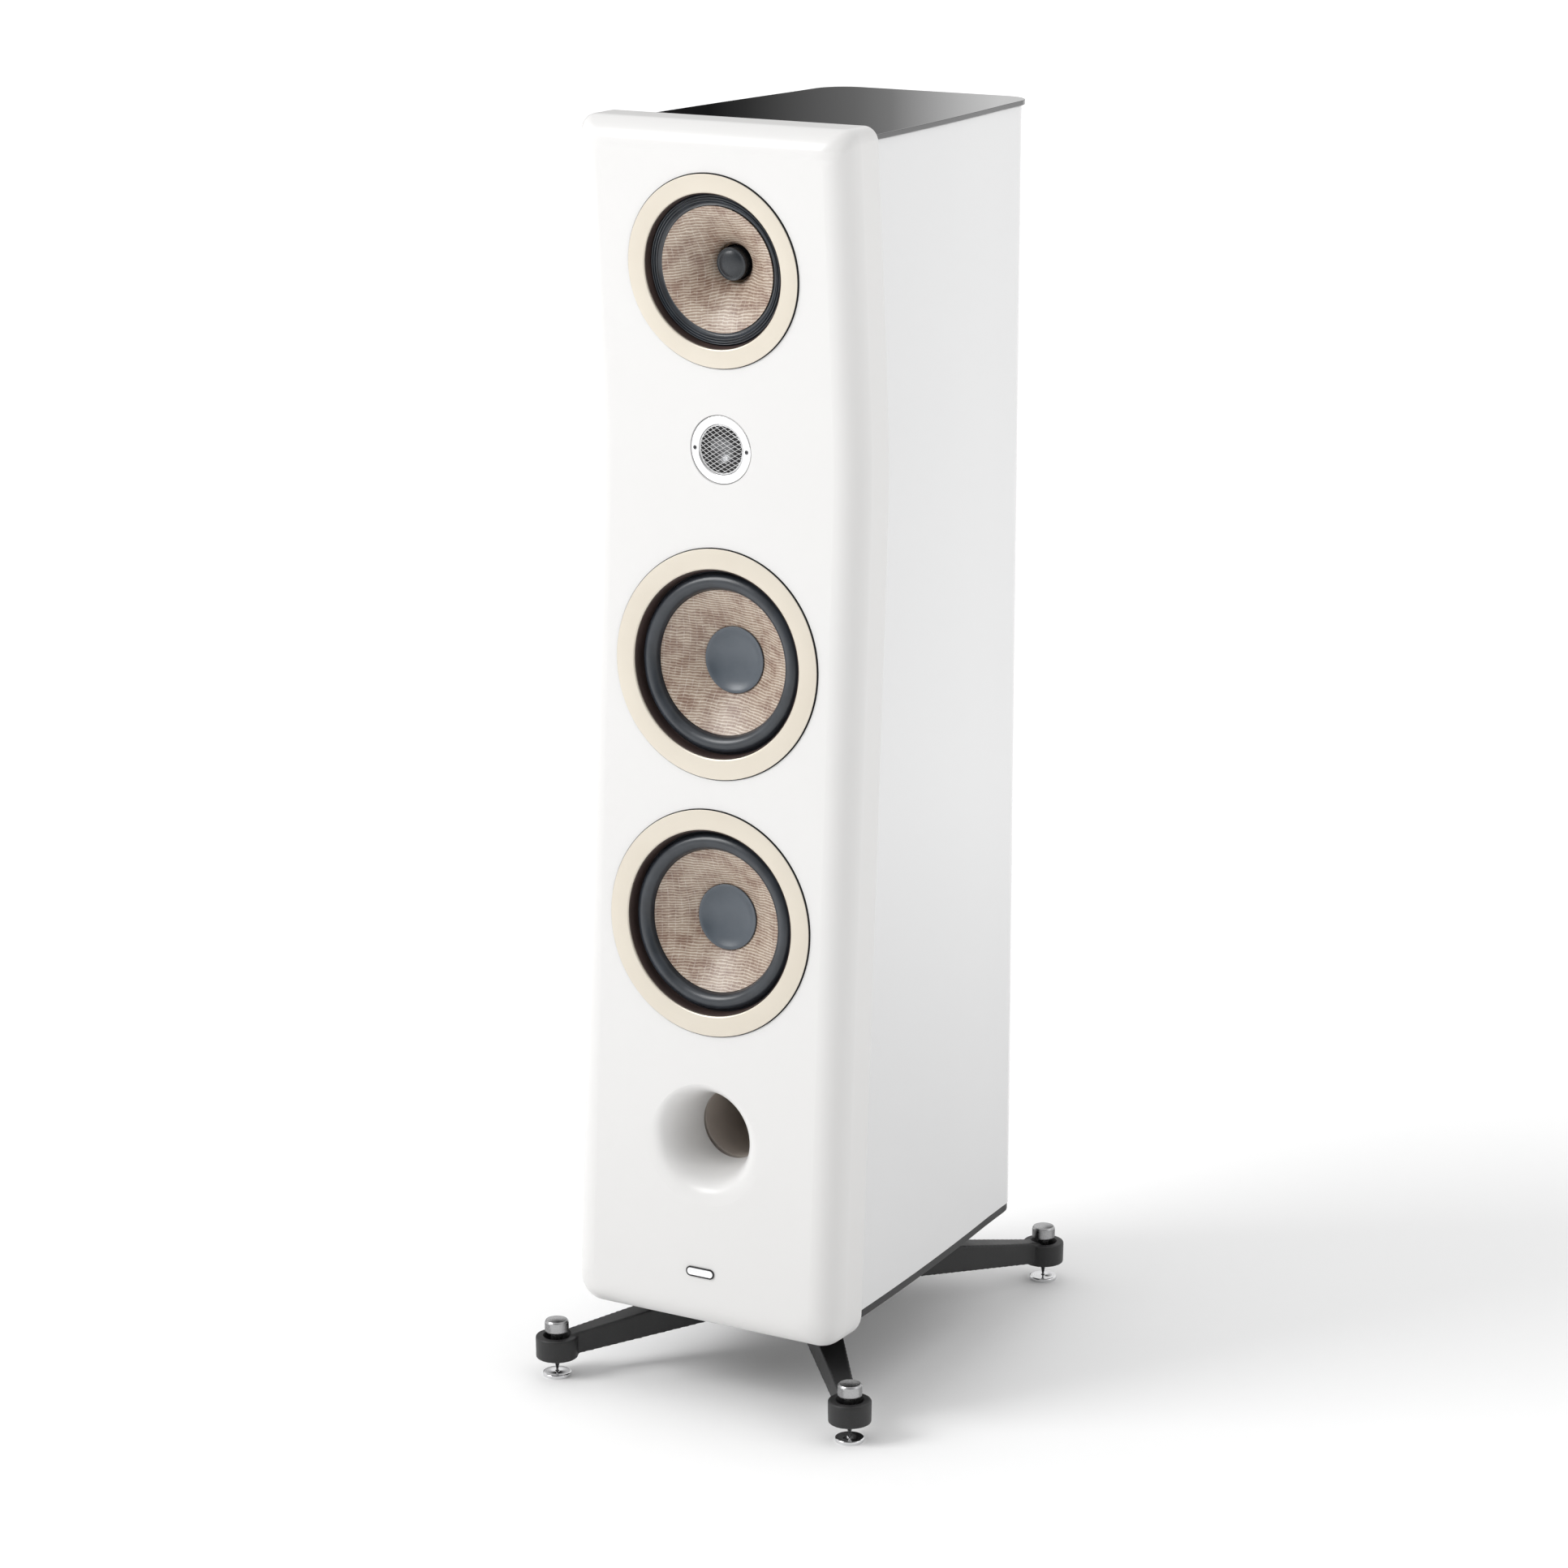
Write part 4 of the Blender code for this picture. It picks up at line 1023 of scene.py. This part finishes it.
armShape = {
    "width": 0.016, "hubWidth": 0.040, "rise": 0.20, "undersideRise": 0.145, "hubY": -0.045, "hubTop": 0.0927,
    "bossLow": 0.0195, "bossHigh": 0.0425, "bossRadius": 21.5, "grain": 0.0012,
    "stops": {"front": 0.036, "rear": 0.056},
}


def footSpot(place):
    spot = centreOf("foot_pad_" + place)
    return Vector((spot.x, spot.y, 0))


def makeArm(place):
    shape, foot = armShape, footSpot(place)
    toHub = Vector((-foot.x, shape["hubY"] - foot.y, 0))
    along, reach = toHub.normalized(), toHub.length - shape["stops"][place.split("_")[0]]
    frameOfArm = Matrix.Translation(foot) @ Matrix.Rotation(math.atan2(along.y, along.x), 4, "Z")
    bm = blockShape((0, -0.5, 0), (1, 0.5, 1))
    for share in (0.12, 0.3, 0.5, 0.7, 0.86):
        sliceAt(bm, rightwards, share)
    for v in bm.verts:
        share, side, upper = v.co.x, v.co.y * 2, v.co.z > 0.5
        distance = max(0.010, reach * share)
        half = (shape["width"] + (shape["hubWidth"] - shape["width"]) * distance / reach) / 2
        top = min(shape["hubTop"], shape["bossHigh"] - 0.0005 + shape["rise"] * distance)
        low = shape["bossLow"] + 0.0005 + shape["undersideRise"] * distance
        v.co = Vector((distance, side * half, top if upper else low))
    bmesh.ops.recalc_face_normals(bm, faces=bm.faces)
    moveTo(bm, frameOfArm)
    arm = finishObject("arm_" + place, bm, finishes["cast"], 0)
    high, low, radius = shape["bossHigh"] / mm, shape["bossLow"] / mm, shape["bossRadius"]
    boss = [(0, low), (radius - 0.3, low, 0.6), (radius, high, 1.4), (0, high)]
    cutWith(arm, [turnedCutter("boss", boss, Matrix.Translation(foot), 96)], "UNION")
    grain = arm.modifiers.new("cast", "REMESH")
    grain.mode, grain.voxel_size = "VOXEL", shape["grain"]
    soft = arm.modifiers.new("soft", "SMOOTH")
    soft.factor, soft.iterations = 0.5, 4
    applyModifiers(arm)
    bore = [(0, 60), (14.2, 60), (14.2, high), (13.25, high - 0.9), (13.25, 30.5), (6.6, 30.5), (6.6, 0), (0, 0)]
    cutWith(arm, [turnedCutter("bore", bore, Matrix.Translation(foot), 96)])
    shadeFrom(arm, 50)
    if not arm.data.materials:
        arm.data.materials.append(finishes["cast"])
    rideAs(arm, "cabinet", "base_arm_" + place)


footShape = {
    "screw": [(0, 2.8), (0.5, 3.3, 0.15), (3.9, 19.0), (6.0, 21.0, 0.3), (6.0, 46.8), (11.5, 46.8, 0.2)],
    "knobTop": [(11.8, 57.7, 0.15), (10.7, 59.2, 0.2), (10.3, 59.3), (9.9, 59.1), (0, 59.2)],
    "knobRadius": 11.8,
    "knurlLow": 47.4, "knurlHigh": 57.4, "knurlRows": 9, "knurlCount": 64, "knurlDepth": 0.28,
    "pad": [(0, 2.2), (0.9, 2.5), (2.6, 3.85, 0.2), (3.0, 4.0), (13.4, 4.0, 0.2), (14.1, 3.7, 0.15),
            (14.5, 3.1, 0.2), (14.5, 0.5, 0.2), (14.1, 0), (0, 0)],
}


def makeFoot(place):
    shape, foot = footShape, footSpot(place)
    rows, knob = shape["knurlRows"], shape["knobRadius"]
    step = (shape["knurlHigh"] - shape["knurlLow"]) / rows
    band = [(knob, shape["knurlLow"] + step * k) for k in range(rows + 1)]
    bm = spunShape(shape["screw"] + band + shape["knobTop"], shape["knurlCount"] * 2)
    for v in bm.verts:
        height = v.co.z / mm
        radius = math.hypot(v.co.x, v.co.y)
        row = round((height - shape["knurlLow"]) / step)
        if abs(radius / mm - knob) < 0.01 and 0 < row < rows:
            column = round(math.atan2(v.co.y, v.co.x) / (math.pi / shape["knurlCount"]))
            grow = 1 + (shape["knurlDepth"] if (row + column) % 2 else -shape["knurlDepth"]) * mm / radius
            v.co.x, v.co.y = v.co.x * grow, v.co.y * grow
    keepOwnPlace(bm)
    bmesh.ops.translate(bm, vec=foot, verts=bm.verts)
    screw = finishObject("footScrew_" + place, bm, finishes["steel"], 42)
    rideAs(screw, "screw_" + place, "foot_screw_" + place)
    turnedPart("footPad_" + place, shape["pad"], Matrix.Translation(foot), "chrome", 96,
               "pad_" + place, "foot_pad_" + place)


for place in ("front_left", "front_right", "rear_left", "rear_right"):
    makeArm(place)
    makeFoot(place)
print("base and feet made")


terminalShape = {
    "drill": [(0, 20), (4.6, 20), (4.6, -20), (0, -20)],
    "post": [(0, 26.0), (2.5, 26.0), (2.9, 25.5), (2.9, 4.4), (6.2, 4.4, 0.2), (6.5, 0.4, 0.2), (4.2, 0.4),
             (4.2, -14.0), (0, -14.0)],
    "knob": [(3.3, 6.0), (8.4, 6.0, 0.3)] + [(9.0, 7.0 + 1.3 * k) for k in range(11)]
            + [(8.2, 21.4, 0.4), (3.3, 21.4)],
    "flutes": 18, "fluteDepth": 0.02,
}


def makeTerminals():
    shape = terminalShape
    low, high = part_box("terminal_plate")
    bm = blockShape(low, high)
    corners = [e for e in bm.edges if abs(e.verts[0].co.y - e.verts[1].co.y) > 0.001]
    roundEdges(bm, corners, 0.008, 8)
    outer = max(bm.faces, key=lambda f: f.calc_center_median().y)
    roundEdges(bm, list(outer.edges), 0.0012, 3)
    plate = finishObject("terminalPlate", bm, finishes["terminalPlate"], 0)
    drills = []
    for colour in ("red", "black"):
        post = centreOf("terminal_post_" + colour)
        place = Matrix.Translation((post.x, high.y, post.z)) @ Matrix.Rotation(-math.pi / 2, 4, "X")
        drills.append(turnedCutter("drill", shape["drill"], place, 48))
        turnedPart("terminalPost_" + colour, shape["post"], place, "brass", 64,
                   "cabinet", "terminal_post_" + colour)
        bm = spunShape(shape["knob"], 72)
        for v in bm.verts:
            if math.hypot(v.co.x, v.co.y) > 8.6 * mm and 7.5 * mm < v.co.z < 19.5 * mm:
                wave = 1 + shape["fluteDepth"] * math.cos(shape["flutes"] * math.atan2(v.co.y, v.co.x))
                v.co.x, v.co.y = v.co.x * wave, v.co.y * wave
        keepOwnPlace(bm)
        moveTo(bm, place)
        piece = finishObject("terminalKnob_" + colour, bm, finishes[colour + "Knob"])
        rideAs(piece, colour + "_terminal_knob", "terminal_knob_" + colour)
    cutWith(plate, drills)
    shadeFrom(plate, 30)
    rideAs(plate, "cabinet", "terminal_plate")


makeTerminals()
print("terminals made")


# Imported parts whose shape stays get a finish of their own.
keptFinishes = {
    "board": ["top_board", "bottom_board", "chamber_divider", "window_brace"],
    "cast": ["base_hub"],
    "basket": ["upper_woofer_basket", "lower_woofer_basket", "midrange_basket"],
    "spider": ["upper_woofer_spider", "lower_woofer_spider", "midrange_spider"],
    "winding": ["upper_woofer_voice_coil", "lower_woofer_voice_coil"],
    # The midrange coil's dark finish is partly its own dark-brown former and partly painted shade for the gap
    # round the phase plug.
    "darkWinding": ["midrange_voice_coil"],
    "ferrite": ["upper_woofer_magnet", "lower_woofer_magnet", "midrange_magnet", "tweeter_magnet"],
    "yoke": ["upper_woofer_yoke", "lower_woofer_yoke", "midrange_yoke"],
    "circuit": ["crossover_board"],
}
for finish, names in keptFinishes.items():
    for name in names:
        slots = nodes[name].material_slots
        for k in range(len(slots)):
            slots[k].material = finishes[finish]
print("kept parts finished")


studio = {
    "floorSize": 60.0,
    # where the floor starts and stops glowing, and how strongly: painted light that whitens the far floor
    "glowFrom": 0.7, "glowTo": 2.6, "glow": 0.34,
    "worldStrength": 0.98,
    "screenTurn": math.radians(29.6),
    "screenGreys": [(0.1, 1.0), (0.2, 0.06), (0.486, 0.012), (0.503, 0.22), (0.515, 0.85), (1.0, 1.0)],
    "shadeTowards": (0.50, -0.84, 0.20),
    "faceShade": 0.26,
    "cameraAt": (2.2451, -3.8994, 1.7415), "pitch": 0.2519, "yaw": 0.5319, "lens": 106.04,
}


def makeFloor():
    bm = bmesh.new()
    bmesh.ops.create_grid(bm, x_segments=4, y_segments=4, size=studio["floorSize"] / 2)
    f = Finish("paleFloor", (0.97, 0.97, 0.97), 0.55, Emission_Strength=1.0)
    fine = f.noise(f.place(), 60, 3)
    # Painted light: the floor glows more and more away from the speaker, so the far floor turns white while the
    # shadow near the speaker stays.
    glow = f.smoothFit(f.radius(f.place()), studio["glowFrom"], studio["glowTo"], 0.0, studio["glow"])
    material = f.feed(Base_Color=f.mix(fine, (0.965, 0.965, 0.965), (0.972, 0.972, 0.972)),
                      Roughness=f.spread(fine, 0.52, 0.60),
                      Emission_Color=f.mix(glow, (0.0, 0.0, 0.0), (1.0, 1.0, 1.0)))
    finishObject("floor", bm, material, 0)


def makeWorld():
    # White all round, with one dark soft-edged screen low behind the speaker on the left, and a softer, darker
    # stretch before the speaker on the right, which gives the cones and caps their shading.
    world = bpy.data.worlds.new("studio")
    bpy.context.scene.world = world
    sky = Nodes(world)
    direction = sky.node("TexCoord", out="Generated")
    turn = studio["screenTurn"]
    side = sky.vector("DOT_PRODUCT", direction, (math.cos(turn), math.sin(turn), 0), "Value")
    ahead = sky.vector("DOT_PRODUCT", direction, (-math.sin(turn), math.cos(turn), -1.2), "Value")
    screen = sky.node("ValToRGB", {"stops": [(at, (grey,) * 3) for at, grey in studio["screenGreys"]]},
                      {0: side * 0.5 + 0.5})
    walls = sky.mix(sky.fit(ahead, 0.3, 0.7, 0.0, 1.0), (1.0, 1.0, 1.0), screen)
    before = sky.vector("DOT_PRODUCT", direction, studio["shadeTowards"], "Value")
    light = sky.vector("MULTIPLY", walls, sky.fit(before, 0.45, 0.97, 1.0, studio["faceShade"]))
    background = sky.tree.nodes["Background"]
    background.inputs["Strength"].default_value = studio["worldStrength"]
    sky.tree.links.new(light.socket, background.inputs["Color"])


def addLight(name, place, aim, size, power):
    light = bpy.data.lights.new(name, "AREA")
    light.shape, light.size, light.energy = "SQUARE", size, power
    lamp = bpy.data.objects.new(name, light)
    lamp.location = place
    lamp.rotation_euler = (Vector(aim) - Vector(place)).to_track_quat("-Z", "Y").to_euler()
    bpy.context.scene.collection.objects.link(lamp)


def makeCamera():
    lens = bpy.data.cameras.new("camera")
    lens.lens, lens.sensor_width = studio["lens"], 36.0
    lens.clip_end = 200
    camera = bpy.data.objects.new("camera", lens)
    camera.location = studio["cameraAt"]
    camera.rotation_euler = (math.pi / 2 - studio["pitch"], 0, studio["yaw"])
    bpy.context.scene.collection.objects.link(camera)
    bpy.context.scene.camera = camera


makeFloor()
makeWorld()
addLight("keySoftbox", (-2.8, -3.2, 3.4), (0, 0, 0.6), 2.2, 125)
addLight("fillSoftbox", (3.8, 0.6, 2.2), (0, 0, 0.7), 2.0, 9)
makeCamera()
bpy.context.scene.view_settings.view_transform = "Standard"
print("studio made")
